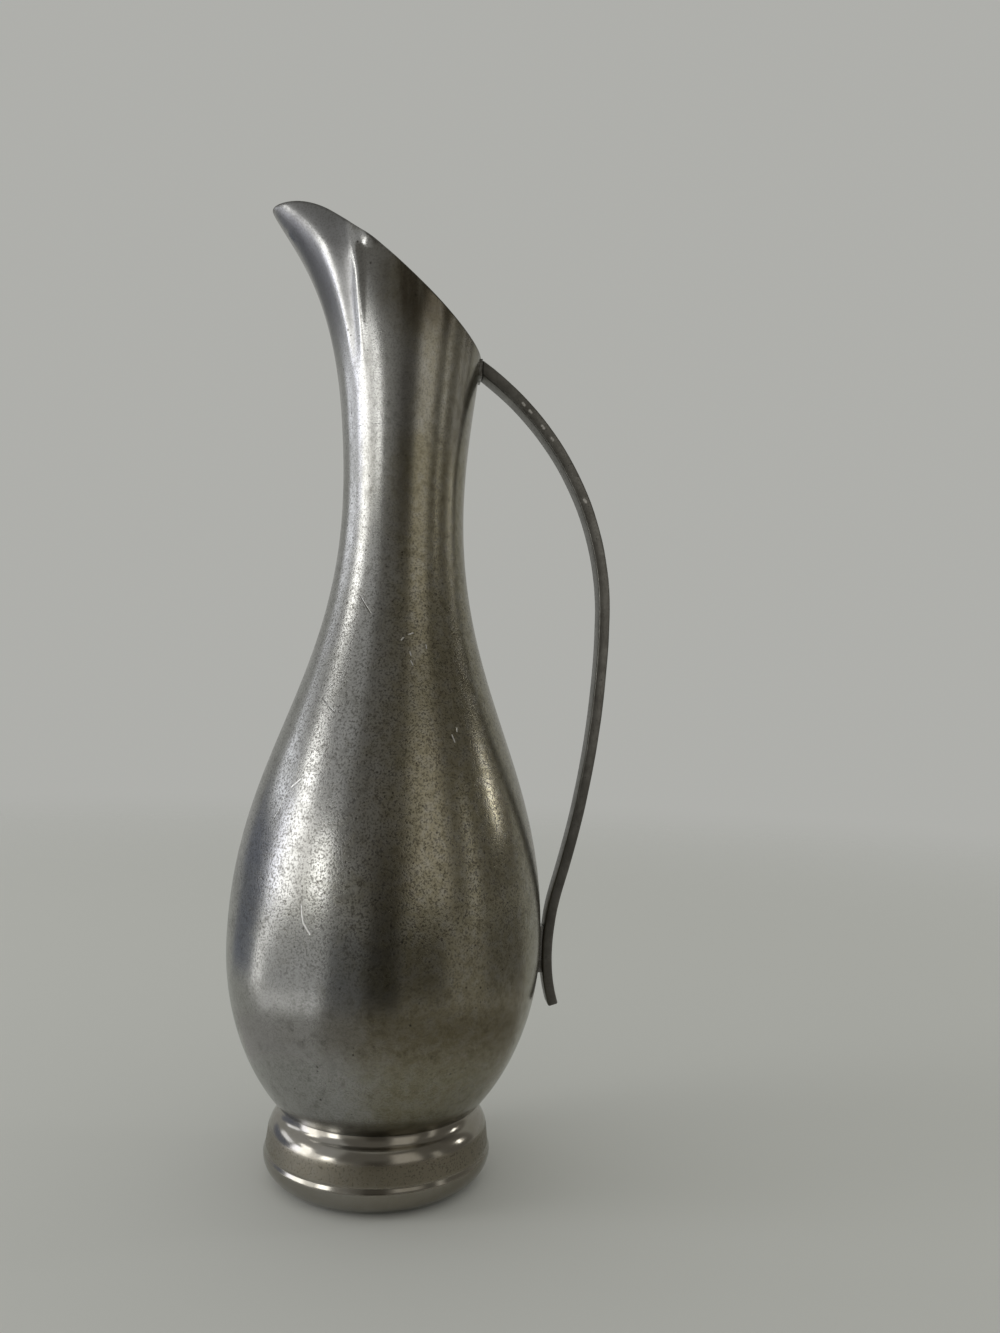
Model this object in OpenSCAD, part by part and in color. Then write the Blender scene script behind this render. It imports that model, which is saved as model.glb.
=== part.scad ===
// Jug vase of spun pewter: turned foot, two-part pear body, pinched mouthpiece and strap handle,
// all soft-soldered together. The vase axis is Z, the table is z = 0, the spout points to -X.

/* [Body] */
// Radius of the belly at its widest
belly_r = 38.7; // [34:0.1:46]
// Height of the belly's widest line above the table
belly_z = 57.1; // [50:0.1:72]
// Radius of the neck at its narrowest
neck_r = 15.4; // [12:0.1:19]
// Height of the neck's narrowest line above the table
neck_z = 166.5; // [150:0.5:200]
// How far the belly's curve holds its width upwards
belly_pull = 44; // [30:1:60]
// How far the neck's curve holds its width downwards
neck_pull = 48; // [30:1:60]
// Gauge of the body's sheet
wall = 1.4; // [1:0.1:2]
// Radius of the rounded edge round the bowl's floor
floor_round = 2; // [1:0.1:3]
// Lean of the bowl's side at the floor's edge, from upright
side_lean = 40; // [30:1:50]

/* [Seams] */
// Height of the lap at each body seam
lap_h = 3; // [2:0.1:5]
// Thickness of the solder in every joint
solder_t = 0.15; // [0.1:0.01:0.3]
// Gauge of the lip inside the neck seam
lip_wall = 0.7; // [0.5:0.1:1]
// Height of the neck seam above the neck's narrowest line
seam_rise = 16; // [10:1:24]
// Width of the solder that shows round the strap's ends
fillet = 0.7; // [0.3:0.1:1]

/* [Mouthpiece] */
// How much wider the mouth is than the neck, in radius
mouth_flare = 4.8; // [3:0.1:7]
// Height over which the mouth widens
flare_h = 64; // [50:1:80]
// Height of the rim's back above the neck's narrowest line
back_rise = 38; // [34:0.1:50]
// Height of the rim's front above the neck's narrowest line
front_rise = 73.1; // [62:0.1:84]
// How far the beak reaches beyond the round mouth
beak_reach = 16.2; // [8:0.1:20]
// Swelling of the beak's nose, as a share of its reach
nose_swell = 1.2; // [0:0.1:4]
// Half angle of the beak at the rim
beak_angle = 34; // [28:1:44]
// Half angle at which the beak grows out of the neck
root_angle = 175; // [120:1:180]
// Depth of the pinch on each flank of the beak
pinch_depth = 2.2; // [0:0.1:4]
// Direction of the pinch, from the front
pinch_angle = 74; // [60:1:90]
// Half angle that the pinch covers
pinch_spread = 45; // [30:1:60]
// Share of the mouth's length over which the rim climbs
climb_share = 0.82; // [0.7:0.01:1]
// How much the climb eases in and out
climb_ease = 0.2; // [0:0.05:1]

/* [Handle] */
// Width of the strap
strap_w = 6; // [5:0.1:12]
// Thickness of the strap at the rim
strap_t = 3.2; // [2:0.1:4]
// Thickness of the strap at the belly
tail_t = 2.5; // [1.2:0.1:3]
// Reach of the strap's centre line from the vase axis
handle_reach = 52.5; // [48:0.1:66]
// Slope at which the strap leaves the rim
leave_angle = 33.5; // [25:0.5:50]
// Height of the belly's widest line above the strap's contact
contact_drop = 3.3; // [0:0.1:8]
// Share of the lower sweep that bends inwards
inward_share = 0.8; // [0.5:0.01:0.85]
// Length of the free tail below the contact
tail_len = 13; // [8:0.5:20]
// Radius of the tail's flick
tail_r = 43; // [30:1:80]
// How far below the rim the strap's top edge lies
strap_drop = 0.3; // [0.2:0.1:2]
// Least thickness of the solder pad at the belly
pad_t = 0.65; // [0.2:0.05:1.5]
// Length of the solder pad above the contact
pad_up = 6.5; // [4:0.5:9]
// Length of the solder pad below the contact
pad_down = 5; // [3:0.5:8]

/* [Foot] */
// Radius of the foot's bead
foot_r = 27.7; // [26.8:0.1:34]
// Height of the foot up to the bowl's seat
foot_h = 17.4; // [16.4:0.1:24]
// Height of the bead's widest line
bead_z = 6.05; // [5.6:0.05:6.5]
// Radius of the bead's upper round
bead_r = 2; // [1.6:0.1:2.6]
// Lean of the slope above the bead, from upright
slope_angle = 22; // [18:1:30]
// Outer radius of the ring that touches the table
rest_r = 19.8; // [17:0.1:24]
// Width of the ring that touches the table
rest_w = 2.2; // [1.5:0.1:5]
// Radius of the collar under the bowl
collar_r = 22.4; // [21.8:0.1:23]
// Radius of the collar's top edge
edge_r = 0.8; // [0.4:0.1:1]
// Radius of the cove below the collar
cove_r = 0.3; // [0.2:0.05:0.6]
// How far the cove turns outwards, in degrees
cove_angle = 72.9; // [70:0.1:76]
// Radius of the brow between the cove and the band
brow_r = 6; // [5.6:0.1:6.4]
// Lean of the band's face, from upright
band_angle = 7; // [5:1:9]
// Height of the band
band_h = 3.7; // [3.4:0.1:4]
// Radius of the hollow between band and bead
hollow_r = 1; // [0.6:0.1:1.4]
// Gauge of the foot's sheet
foot_wall = 1.5; // [1:0.1:1.8]
// Width of the foot's seat under the bowl
seat_w = 5; // [3:0.5:10]
// How far the bowl stands out over the collar
bowl_over = 2.75; // [2:0.05:4]

/* [Hidden] */
$fn = 96;
columns = 96;
rows = 14;
arc_steps = 10;
bowl_steps = 20;
shoulder_steps = 30;
flare_steps = 5;
sweep_steps = 22;
fine_sides = 720;
rim_passes = 8;
eps = 0.02;

bowl_floor = foot_h + solder_t;
bowl_edge_r = collar_r + bowl_over;
bowl_edge_z = bowl_floor + floor_round * (1 - sin(side_lean));
bowl_oval_h = (belly_z - bowl_edge_z) / sqrt(1 - pow(bowl_edge_r / belly_r, 2));
shoulder_z = belly_z + solder_t;
seam_z = neck_z + seam_rise;
back_z = neck_z + back_rise;
front_z = neck_z + front_rise;

pewter = [0.56, 0.56, 0.54];
dark_pewter = [0.42, 0.41, 0.38];
solder_grey = [0.68, 0.68, 0.67];

// Curve helpers
function clamp01(v) = min(max(v, 0), 1);
function ease(t) = t * t * (3 - 2 * t);
function bell(v) = abs(v) < 1 ? pow(cos(90 * v), 2) : 0;
function arc_pts(centre, rx, ry, a0, a1) = [
    for (i = [0 : arc_steps])
        let (a = a0 + (a1 - a0) * i / arc_steps)
        [centre[0] + rx * cos(a), centre[1] + ry * sin(a)]
];
function bezier(p, t) = pow(1 - t, 3) * p[0] + 3 * t * pow(1 - t, 2) * p[1]
    + 3 * t * t * (1 - t) * p[2] + pow(t, 3) * p[3];
function bezier_dir(p, t) = pow(1 - t, 2) * (p[1] - p[0]) + 2 * t * (1 - t) * (p[2] - p[1])
    + t * t * (p[3] - p[2]);
// A point set back by a gauge, to the left of the direction of travel
function set_back(p, dir, gauge) = p + gauge / norm(dir) * [-dir[1], dir[0]];
function reversed(list) = [for (i = [len(list) - 1 : -1 : 0]) list[i]];

// Turned profiles of the body, from the floor upwards
function bowl_r(z, inset) = (belly_r - inset) * sqrt(1 - pow((belly_z - z) / (bowl_oval_h - inset), 2));
function trumpet_r(z) = neck_r + mouth_flare * ease(clamp01((z - neck_z) / flare_h));
function trumpet_slope(z) = (trumpet_r(z + eps) - trumpet_r(z - eps)) / (2 * eps);
function bowl_side(inset, z0, z1) = [
    for (i = [0 : bowl_steps])
        let (z = z0 + (z1 - z0) * sin(90 * i / bowl_steps))
        [bowl_r(z, inset), z]
];
shoulder_guide = [
    [belly_r, shoulder_z], [belly_r, shoulder_z + belly_pull],
    [neck_r, neck_z - neck_pull], [neck_r, neck_z]
];
shoulder_side = [for (i = [0 : shoulder_steps]) bezier(shoulder_guide, i / shoulder_steps)];
shoulder_bore = [
    for (i = [0 : shoulder_steps])
        let (t = i / shoulder_steps)
        set_back(bezier(shoulder_guide, t), bezier_dir(shoulder_guide, t), wall)
];
function flare_side(z0, z1) = [
    for (i = [1 : flare_steps])
        let (z = z0 + (z1 - z0) * i / flare_steps)
        [trumpet_r(z), z]
];
function flare_bore(z) = trumpet_r(z) - wall * sqrt(1 + pow(trumpet_slope(z), 2));
// Largest round that passes inside the many-sided mouthpiece
function round_bore(z) = flare_bore(z) * cos(180 / columns);
bowl_outer = concat(
    arc_pts(
        [bowl_edge_r - floor_round * cos(side_lean), bowl_floor + floor_round],
        floor_round, floor_round, -90, -side_lean
    ),
    bowl_side(0, bowl_edge_z + eps, belly_z)
);

// The mouthpiece: a round trumpet whose front is drawn out into a beak
function climb(z) = clamp01((z - seam_z) / (front_z - seam_z));
function beak_push(s) = pow(s, 3) + nose_swell * pow(s, 10) * (1 - s);
function beak_half(s) = root_angle + (beak_angle - root_angle) * s;
function drawn_r(phi, z) =
    let (s = climb(z))
    trumpet_r(z) + beak_reach * beak_push(s) * bell(phi / beak_half(s));
function mouth_r(phi, z) =
    drawn_r(phi, z) - pinch_depth * pow(climb(z), 2) * bell((abs(phi) - pinch_angle) / pinch_spread);
mouth_back = trumpet_r(back_z);
mouth_front = trumpet_r(front_z) + beak_reach;
function rim_height(x) =
    let (t = clamp01((mouth_back - x) / (climb_share * (mouth_back + mouth_front))))
    back_z + (front_z - back_z) * ((1 - climb_ease) * t + climb_ease * ease(t));
function rim_z(phi, z, passes) = passes == 0 ? z
    : rim_z(phi, rim_height(-drawn_r(phi, z) * cos(phi)), passes - 1);
// Sheet gauge measured along the radius, so that the gauge square to the sheet stays the same
function mouth_gauge(phi, z) =
    let (turn = (mouth_r(phi + 1, z) - mouth_r(phi - 1, z)) / (2 * PI / 180) / mouth_r(phi, z))
    let (lean = (mouth_r(phi, z + eps) - mouth_r(phi, z - eps)) / (2 * eps))
    wall * min(2, sqrt(1 + turn * turn + lean * lean));
function mouth_pt(i, j, inside) =
    let (phi = -180 + 360 * i / columns)
    let (z0 = seam_z + solder_t)
    let (z = z0 + (rim_z(phi, front_z, rim_passes) - z0) * j / rows)
    let (r = mouth_r(phi, z) - (inside ? mouth_gauge(phi, z) : 0))
    [-r * cos(phi), -r * sin(phi), z];

// The strap's centre line: one outward sweep, one inward sweep, one sweep back to the belly, the tail
end_x = mouth_back + solder_t;
end_z = back_z - strap_drop - strap_t / 2 / cos(leave_angle);
crown_r = (handle_reach - end_x) / (1 - sin(leave_angle));
crown_z = end_z - crown_r * cos(leave_angle);
contact_z = belly_z - contact_drop;
contact_x = bowl_r(contact_z, 0) + pad_t + tail_t / 2;
sway = 2 * atan((handle_reach - contact_x) / (crown_z - contact_z));
sweep_sum = (crown_z - contact_z) / sin(sway);
inward_r = inward_share * sweep_sum;
return_r = sweep_sum - inward_r;
crown_len = crown_r * (90 - leave_angle) * PI / 180;
held_len = crown_len + sweep_sum * sway * PI / 180;
// Each station is x, z, slope below the level and thickness
function station(x, z, slope, run) =
    [x, z, slope, strap_t + (tail_t - strap_t) * clamp01(run / held_len)];
function crown_station(a) = station(
    handle_reach - crown_r * (1 - sin(a)), crown_z + crown_r * cos(a), a,
    crown_r * (a - leave_angle) * PI / 180
);
function inward_station(a) = station(
    handle_reach - inward_r * (1 - cos(a)), crown_z - inward_r * sin(a), 90 + a,
    crown_len + inward_r * a * PI / 180
);
function return_station(a) = station(
    contact_x + return_r * (1 - cos(a)), contact_z + return_r * sin(a), 90 + a,
    held_len - return_r * a * PI / 180
);
function tail_station(a) = station(
    contact_x + tail_r * (1 - cos(a)), contact_z - tail_r * sin(a), 90 - a, held_len
);
tail_angle = tail_len / tail_r * 180 / PI;
stations = concat(
    [for (i = [0 : sweep_steps - 1]) crown_station(leave_angle + (90 - leave_angle) * i / sweep_steps)],
    [for (i = [0 : sweep_steps - 1]) inward_station(sway * i / sweep_steps)],
    [for (i = [0 : sweep_steps - 1]) return_station(sway * (1 - i / sweep_steps))],
    [for (i = [0 : arc_steps]) tail_station(tail_angle * i / arc_steps)]
);
function strap_face(s, side) =
    [s[0] + side * sin(s[2]) * s[3] / 2, s[1] + side * cos(s[2]) * s[3] / 2];
// The strap's first end is cut upright, to butt against the back of the mouth
function cut_upright(p) = [end_x, p[1] + (p[0] - end_x) * tan(leave_angle)];
function strap_edge(side) = [
    for (i = [0 : len(stations) - 1])
        let (p = strap_face(stations[i], side))
        i == 0 ? cut_upright(p) : p
];

module turned(points, sides = $fn) {
    rotate_extrude($fn = sides) polygon(points);
}

module upright_plate(points, width) {
    rotate([90, 0, 0]) linear_extrude(height = width, center = true) polygon(points);
}

module body_form() {
    turned(concat([[0, bowl_floor]], bowl_outer, shoulder_side, [[0, neck_z]]), fine_sides);
}

module foot_ring() {
    bead = [foot_r - bead_r, bead_z];
    cove = [collar_r + cove_r, foot_h - edge_r];
    brow = cove - (cove_r + brow_r) * [cos(cove_angle), sin(cove_angle)];
    facing = [cos(band_angle), sin(band_angle)];
    hollow = brow + (brow_r + hollow_r) * facing + band_h * [tan(band_angle), -1];
    outer = concat(
        arc_pts([rest_r, bead_z], foot_r - rest_r, bead_z, -90, 0),
        arc_pts(bead, bead_r, bead_r, 0, slope_angle),
        arc_pts(hollow, hollow_r, hollow_r, 180 + slope_angle, 180 + band_angle),
        arc_pts(brow, brow_r, brow_r, band_angle, cove_angle),
        arc_pts(cove, cove_r, cove_r, 180 + cove_angle, 180),
        arc_pts([collar_r - edge_r, foot_h - edge_r], edge_r, edge_r, 0, 90)
    );
    brow_in = brow_r - foot_wall;
    inner = concat(
        arc_pts([rest_r, bead_z], foot_r - rest_r - foot_wall, bead_z - foot_wall, -90, 0),
        arc_pts(brow, brow_in, brow_in, band_angle, 90)
    );
    color(pewter) turned(concat(
        [[rest_r - rest_w, 0]],
        outer,
        [[collar_r - seat_w, foot_h], [collar_r - seat_w, foot_h - foot_wall]],
        reversed(inner),
        [[rest_r - rest_w, foot_wall]]
    ));
}

module lower_bowl() {
    lap_r = belly_r - wall / 2;
    ledge_z = belly_z - lap_h;
    color(pewter) turned(concat(
        [[0, bowl_floor]],
        bowl_outer,
        [[lap_r, belly_z], [lap_r, ledge_z]],
        reversed(bowl_side(wall, bowl_floor + wall, ledge_z)),
        [[0, bowl_floor + wall]]
    ));
}

module shoulder_neck() {
    lap_r = belly_r - wall / 2 - solder_t;
    lap_z = belly_z - lap_h + solder_t;
    top = seam_z + lap_h;
    lip_top_r = round_bore(top) - solder_t;
    lip_r = round_bore(seam_z) - solder_t;
    step_z = seam_z - lap_h;
    color(pewter) turned(concat(
        [[belly_r - wall, lap_z], [lap_r, lap_z], [lap_r, shoulder_z]],
        shoulder_side,
        flare_side(neck_z, seam_z),
        [[lip_r, seam_z], [lip_top_r, top], [lip_top_r - lip_wall, top], [lip_r - lip_wall, seam_z],
            [flare_bore(step_z), step_z]],
        reversed(shoulder_bore)
    ));
}

module spout() {
    ring = columns * (rows + 1);
    function vertex(i, j, inside) = (inside ? ring : 0) + j * columns + i % columns;
    points = [
        for (inside = [false, true], j = [0 : rows], i = [0 : columns - 1]) mouth_pt(i, j, inside)
    ];
    outside_faces = [
        for (j = [0 : rows - 1], i = [0 : columns - 1], upper = [false, true])
            upper ? [vertex(i, j, false), vertex(i + 1, j + 1, false), vertex(i + 1, j, false)]
                : [vertex(i, j, false), vertex(i, j + 1, false), vertex(i + 1, j + 1, false)]
    ];
    inside_faces = [
        for (j = [0 : rows - 1], i = [0 : columns - 1], upper = [false, true])
            upper ? [vertex(i, j, true), vertex(i + 1, j, true), vertex(i + 1, j + 1, true)]
                : [vertex(i, j, true), vertex(i + 1, j + 1, true), vertex(i, j + 1, true)]
    ];
    rim_faces = [
        for (i = [0 : columns - 1], upper = [false, true])
            upper ? [vertex(i, rows, false), vertex(i + 1, rows, true), vertex(i + 1, rows, false)]
                : [vertex(i, rows, false), vertex(i, rows, true), vertex(i + 1, rows, true)]
    ];
    seat_faces = [
        for (i = [0 : columns - 1], upper = [false, true])
            upper ? [vertex(i, 0, false), vertex(i + 1, 0, false), vertex(i + 1, 0, true)]
                : [vertex(i, 0, false), vertex(i + 1, 0, true), vertex(i, 0, true)]
    ];
    color(pewter) polyhedron(points, concat(outside_faces, inside_faces, rim_faces, seat_faces));
}

module handle() {
    color(dark_pewter) upright_plate(concat(strap_edge(1), reversed(strap_edge(-1))), strap_w);
}

module foot_solder() {
    color(solder_grey) turned([
        [collar_r - seat_w, foot_h], [collar_r - edge_r, foot_h],
        [collar_r - edge_r, bowl_floor], [collar_r - seat_w, bowl_floor]
    ]);
}

module belly_solder() {
    lap_r = belly_r - wall / 2;
    ledge_z = belly_z - lap_h;
    color(solder_grey) turned([
        [belly_r - wall, ledge_z], [lap_r, ledge_z], [lap_r, belly_z], [belly_r, belly_z],
        [belly_r, shoulder_z], [lap_r - solder_t, shoulder_z], [lap_r - solder_t, ledge_z + solder_t],
        [belly_r - wall, ledge_z + solder_t]
    ]);
}

module neck_solder() {
    seat_z = seam_z + solder_t;
    top = seam_z + lap_h;
    color(solder_grey) turned([
        [round_bore(seam_z) - solder_t, seam_z], [trumpet_r(seam_z) * cos(180 / columns), seam_z],
        [trumpet_r(seam_z) * cos(180 / columns), seat_z], [round_bore(seat_z), seat_z],
        [round_bore(top), top], [round_bore(top) - solder_t, top]
    ]);
}

module handle_top_solder() {
    edge = strap_edge(-1)[0][1];
    low = edge - fillet;
    high = strap_edge(1)[0][1];
    color(solder_grey) difference() {
        translate([mouth_back - strap_t, -strap_w / 2 - fillet, low])
            cube([strap_t + solder_t, strap_w + 2 * fillet, high - low]);
        turned(concat(
            [[0, low - strap_t], [trumpet_r(low - strap_t) + eps, low - strap_t]],
            [for (p = flare_side(low - strap_t, back_z + strap_t)) p + [eps, 0]],
            [[0, back_z + strap_t]]
        ), fine_sides);
    }
}

module handle_tail_solder() {
    top = contact_z + pad_up;
    bottom = contact_z - pad_down;
    held = [for (s = stations) if (s[1] < top && s[1] > bottom) strap_face(s, -1)];
    deep_r = belly_r - strap_w;
    color(solder_grey) difference() {
        upright_plate(
            concat(held, [[deep_r, held[len(held) - 1][1]], [deep_r, held[0][1]]]),
            strap_w - 2 * fillet
        );
        body_form();
    }
}

foot_ring();
lower_bowl();
shoulder_neck();
spout();
handle();
foot_solder();
belly_solder();
neck_solder();
handle_top_solder();
handle_tail_solder();
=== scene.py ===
"""Aged pewter jug vase on a pale studio floor.

A turned foot, a pear body of two spun halves, a pinched mouthpiece and a strap handle, soft-soldered
together. Lengths are in metres and angles in degrees. The vase axis is Z, the floor is z = 0, the spout
points to -X and the handle to +X.
"""
import logging
import math
from collections.abc import Callable, Sequence
from dataclasses import dataclass
from enum import Enum

import bmesh
import bpy
from bmesh.types import BMesh
from mathutils import Matrix, Vector, noise


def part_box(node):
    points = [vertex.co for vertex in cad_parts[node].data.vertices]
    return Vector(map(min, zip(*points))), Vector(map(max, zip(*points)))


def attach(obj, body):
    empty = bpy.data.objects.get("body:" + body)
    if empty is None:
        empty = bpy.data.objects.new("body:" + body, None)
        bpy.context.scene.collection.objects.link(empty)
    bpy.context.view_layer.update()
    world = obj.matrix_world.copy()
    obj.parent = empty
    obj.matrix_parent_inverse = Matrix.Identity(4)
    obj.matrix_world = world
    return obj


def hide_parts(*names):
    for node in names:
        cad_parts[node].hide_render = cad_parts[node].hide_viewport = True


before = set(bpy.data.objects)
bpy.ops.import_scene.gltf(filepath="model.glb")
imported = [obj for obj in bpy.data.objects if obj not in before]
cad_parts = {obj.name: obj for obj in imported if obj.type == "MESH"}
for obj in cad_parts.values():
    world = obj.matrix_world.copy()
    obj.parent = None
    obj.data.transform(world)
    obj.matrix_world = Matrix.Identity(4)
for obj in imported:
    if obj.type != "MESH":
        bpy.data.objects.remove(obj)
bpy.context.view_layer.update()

LOG = logging.getLogger("jug_vase")
BODY = "root"
TURN_STEPS = 192
ROUND_STEPS = 3
MERGE_GAP = 1e-7
SHARP_ANGLE = math.radians(40)
WEAR = "wear"
COVER = "cover"
# The layer below raises roughness and carries painted shade on the beak's flanks.
DULL_AND_SHADE = "dull"
RIM = "rim"

Colour = tuple[float, float, float]
Range = tuple[float, float]
Outline = list[tuple[float, float]]
Profile = Callable[[float], float]
Layer = Callable[[Vector], float]
Socket = bpy.types.NodeSocket


class Slot(Enum):
    """The record's material slots."""

    PEWTER = "pewter"
    DARK_PEWTER = "dark_pewter"
    SOLDER = "solder"


class Mark(Enum):
    """How a scratch shows: cut down to bright metal, or filled with dirt."""

    BRIGHT = "bright"
    DARK = "dark"


def clamp01(value: float) -> float:
    """Return the value held between 0 and 1."""
    return min(max(value, 0.0), 1.0)


def ease(t: float) -> float:
    """Return a smooth step from 0 at t = 0 to 1 at t = 1."""
    return t * t * (3 - 2 * t)


def bell(v: float) -> float:
    """Return a smooth hump that is 1 at v = 0 and 0 from v = 1 outwards."""
    return math.cos(math.pi / 2 * v) ** 2 if abs(v) < 1 else 0.0


def even_shares(count: int) -> list[float]:
    """Return the shares from 0 to 1 that end each of a number of even stretches."""
    return [i / count for i in range(count + 1)]


def arc(
    centre: tuple[float, float], rx: float, rz: float, start: float, end: float, steps: int = 14
) -> Outline:
    """Points along an elliptic arc of a turned outline.

    Args:
        centre: radius and height of the arc's centre.
        rx: half width of the ellipse.
        rz: half height of the ellipse.
        start: first angle in degrees, from the outward direction.
        end: last angle in degrees.
        steps: number of stretches.

    Returns:
        The arc's points as radius and height.
    """
    angles = [math.radians(start + (end - start) * i / steps) for i in range(steps + 1)]
    return [(centre[0] + rx * math.cos(a), centre[1] + rz * math.sin(a)) for a in angles]


def around(turn: float, radius: float, height: float) -> Vector:
    """A point given by its turn round the vase axis.

    Args:
        turn: degrees from the front (-Y), positive towards the handle.
        radius: distance from the axis.
        height: height above the floor.

    Returns:
        The point in the vase frame.
    """
    a = math.radians(turn)
    return Vector((radius * math.sin(a), -radius * math.cos(a), height))


@dataclass(frozen=True)
class BodyLines:
    """The turned lines of the vase, which all its pieces follow."""

    belly_r: float
    belly_z: float
    bowl_floor: float
    seam_z: float
    front_z: float
    foot_r: float
    foot_h: float
    neck_r: float = 0.0154
    neck_z: float = 0.1665
    belly_pull: float = 0.044
    neck_pull: float = 0.048
    wall: float = 0.0014
    floor_round: float = 0.002
    side_lean: float = 40.0
    bowl_edge_r: float = 0.02515
    lap_h: float = 0.003
    solder_t: float = 0.00015
    lip_wall: float = 0.0007
    mouth_flare: float = 0.0048
    flare_h: float = 0.064
    back_rise: float = 0.038
    halvings: int = 30

    @classmethod
    def from_frame(cls) -> "BodyLines":
        """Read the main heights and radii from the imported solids.

        Returns:
            The lines of this vase.
        """
        bowl_low, bowl_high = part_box("lower_bowl")
        neck_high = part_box("shoulder_neck")[1]
        spout_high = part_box("spout")[1]
        foot_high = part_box("foot_ring")[1]
        return cls(
            belly_r=bowl_high.x,
            belly_z=bowl_high.z,
            bowl_floor=bowl_low.z,
            seam_z=neck_high.z - cls.lap_h,
            front_z=spout_high.z,
            foot_r=foot_high.x,
            foot_h=foot_high.z,
        )

    @property
    def shoulder_z(self) -> float:
        """Height at which the upper half of the body starts."""
        return self.belly_z + self.solder_t

    @property
    def lap_r(self) -> float:
        """Radius of the step in the bowl's rim, into which the upper half is lapped."""
        return self.belly_r - self.wall / 2

    @property
    def ledge_z(self) -> float:
        """Height of the ledge inside the bowl's rim."""
        return self.belly_z - self.lap_h

    @property
    def lip_z(self) -> float:
        """Height of the neck's lip inside the mouthpiece."""
        return self.seam_z + self.lap_h

    @property
    def back_z(self) -> float:
        """Height of the rim at the handle."""
        return self.neck_z + self.back_rise

    @property
    def mouth_back(self) -> float:
        """Radius of the rim at the handle."""
        return self.trumpet_radius(self.back_z)

    @property
    def bowl_edge_z(self) -> float:
        """Height at which the bowl's rounded floor edge meets its side."""
        return self.bowl_floor + self.floor_round * (1 - math.sin(math.radians(self.side_lean)))

    @property
    def oval_h(self) -> float:
        """Half height of the oval that the bowl's side follows."""
        return (self.belly_z - self.bowl_edge_z) / math.sqrt(1 - (self.bowl_edge_r / self.belly_r) ** 2)

    def bowl_radius(self, z: float, inset: float = 0.0) -> float:
        """Radius of the bowl at a height, set in by a gauge."""
        share = (self.belly_z - z) / (self.oval_h - inset)
        return (self.belly_r - inset) * math.sqrt(max(0.0, 1 - share * share))

    def shoulder_point(self, t: float, inset: float = 0.0) -> tuple[float, float]:
        """A point on the curve from the belly to the neck.

        Args:
            t: place along the curve, from 0 at the belly to 1 at the neck.
            inset: gauge by which the point is set in, square to the curve.

        Returns:
            Radius and height.
        """
        guide = [
            Vector((self.belly_r, self.shoulder_z)),
            Vector((self.belly_r, self.shoulder_z + self.belly_pull)),
            Vector((self.neck_r, self.neck_z - self.neck_pull)),
            Vector((self.neck_r, self.neck_z)),
        ]
        u = 1 - t
        point = u**3 * guide[0] + 3 * t * u * u * guide[1] + 3 * t * t * u * guide[2] + t**3 * guide[3]
        legs = [after - before for before, after in zip(guide, guide[1:])]
        along = u * u * legs[0] + 2 * t * u * legs[1] + t * t * legs[2]
        along.normalize()
        return point.x - inset * along.y, point.y + inset * along.x

    def trumpet_radius(self, z: float) -> float:
        """Radius of the round mouth above the neck."""
        return self.neck_r + self.mouth_flare * ease(clamp01((z - self.neck_z) / self.flare_h))

    def trumpet_bore(self, z: float) -> float:
        """Radius inside the sheet of the round mouth."""
        return self.trumpet_radius(z) - self.wall

    def radius_at(self, z: float) -> float:
        """Outside radius of the body at a height, found by halving where the curve gives it by place.

        Args:
            z: height above the floor.

        Returns:
            The radius.
        """
        if z <= self.belly_z:
            return self.bowl_radius(z)
        if z >= self.neck_z:
            return self.trumpet_radius(z)
        low, high = 0.0, 1.0
        for _ in range(self.halvings):
            middle = (low + high) / 2
            if self.shoulder_point(middle)[1] < z:
                low = middle
            else:
                high = middle
        return self.shoulder_point(low)[0]


@dataclass(frozen=True)
class Unevenness:
    """Slight swells that spinning and polishing by hand leave in the sheet."""

    swell: float = 0.021
    swell_depth: float = 0.00007
    ripple: float = 0.008
    ripple_depth: float = 0.000012
    upright_squeeze: float = 0.45

    def shift(self, point: Vector) -> Vector:
        """Find how far a point of the sheet lies from its true turned place.

        Args:
            point: the true place.

        Returns:
            The shift away from it.
        """
        outward = Vector((point.x, point.y, 0.0))
        if outward.length < MERGE_GAP:
            return Vector()
        place = Vector((point.x, point.y, point.z * self.upright_squeeze))
        depth = self.swell_depth * noise.noise(place / self.swell)
        depth += self.ripple_depth * noise.noise(place / self.ripple)
        return outward.normalized() * depth

    def apply(self, bm: BMesh) -> None:
        """Move every vertex of a mesh by its own shift."""
        for vert in bm.verts:
            vert.co += self.shift(vert.co)


def turned(outline: Outline, closed: bool, steps: int = TURN_STEPS) -> BMesh:
    """Spin an outline of radius and height once round the vase axis.

    Args:
        outline: the outline's points in order.
        closed: whether the last point joins the first.
        steps: number of stretches round the axis.

    Returns:
        The turned mesh with its normals outwards.
    """
    bm = bmesh.new()
    verts = [bm.verts.new((radius, 0.0, height)) for radius, height in outline]
    ends = verts[1:] + (verts[:1] if closed else [])
    edges = [bm.edges.new(pair) for pair in zip(verts, ends)]
    bmesh.ops.spin(
        bm, geom=verts + edges, cent=(0, 0, 0), axis=(0, 0, 1), angle=math.tau, steps=steps, use_merge=True
    )
    bmesh.ops.remove_doubles(bm, verts=bm.verts, dist=MERGE_GAP)
    bmesh.ops.recalc_face_normals(bm, faces=bm.faces)
    return bm


def sharp_edges(bm: BMesh) -> list[bmesh.types.BMEdge]:
    """Return the edges at which a mesh turns a corner."""
    joined = [edge for edge in bm.edges if len(edge.link_faces) == 2]
    return [edge for edge in joined if edge.calc_face_angle(0.0) > SHARP_ANGLE]


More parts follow.
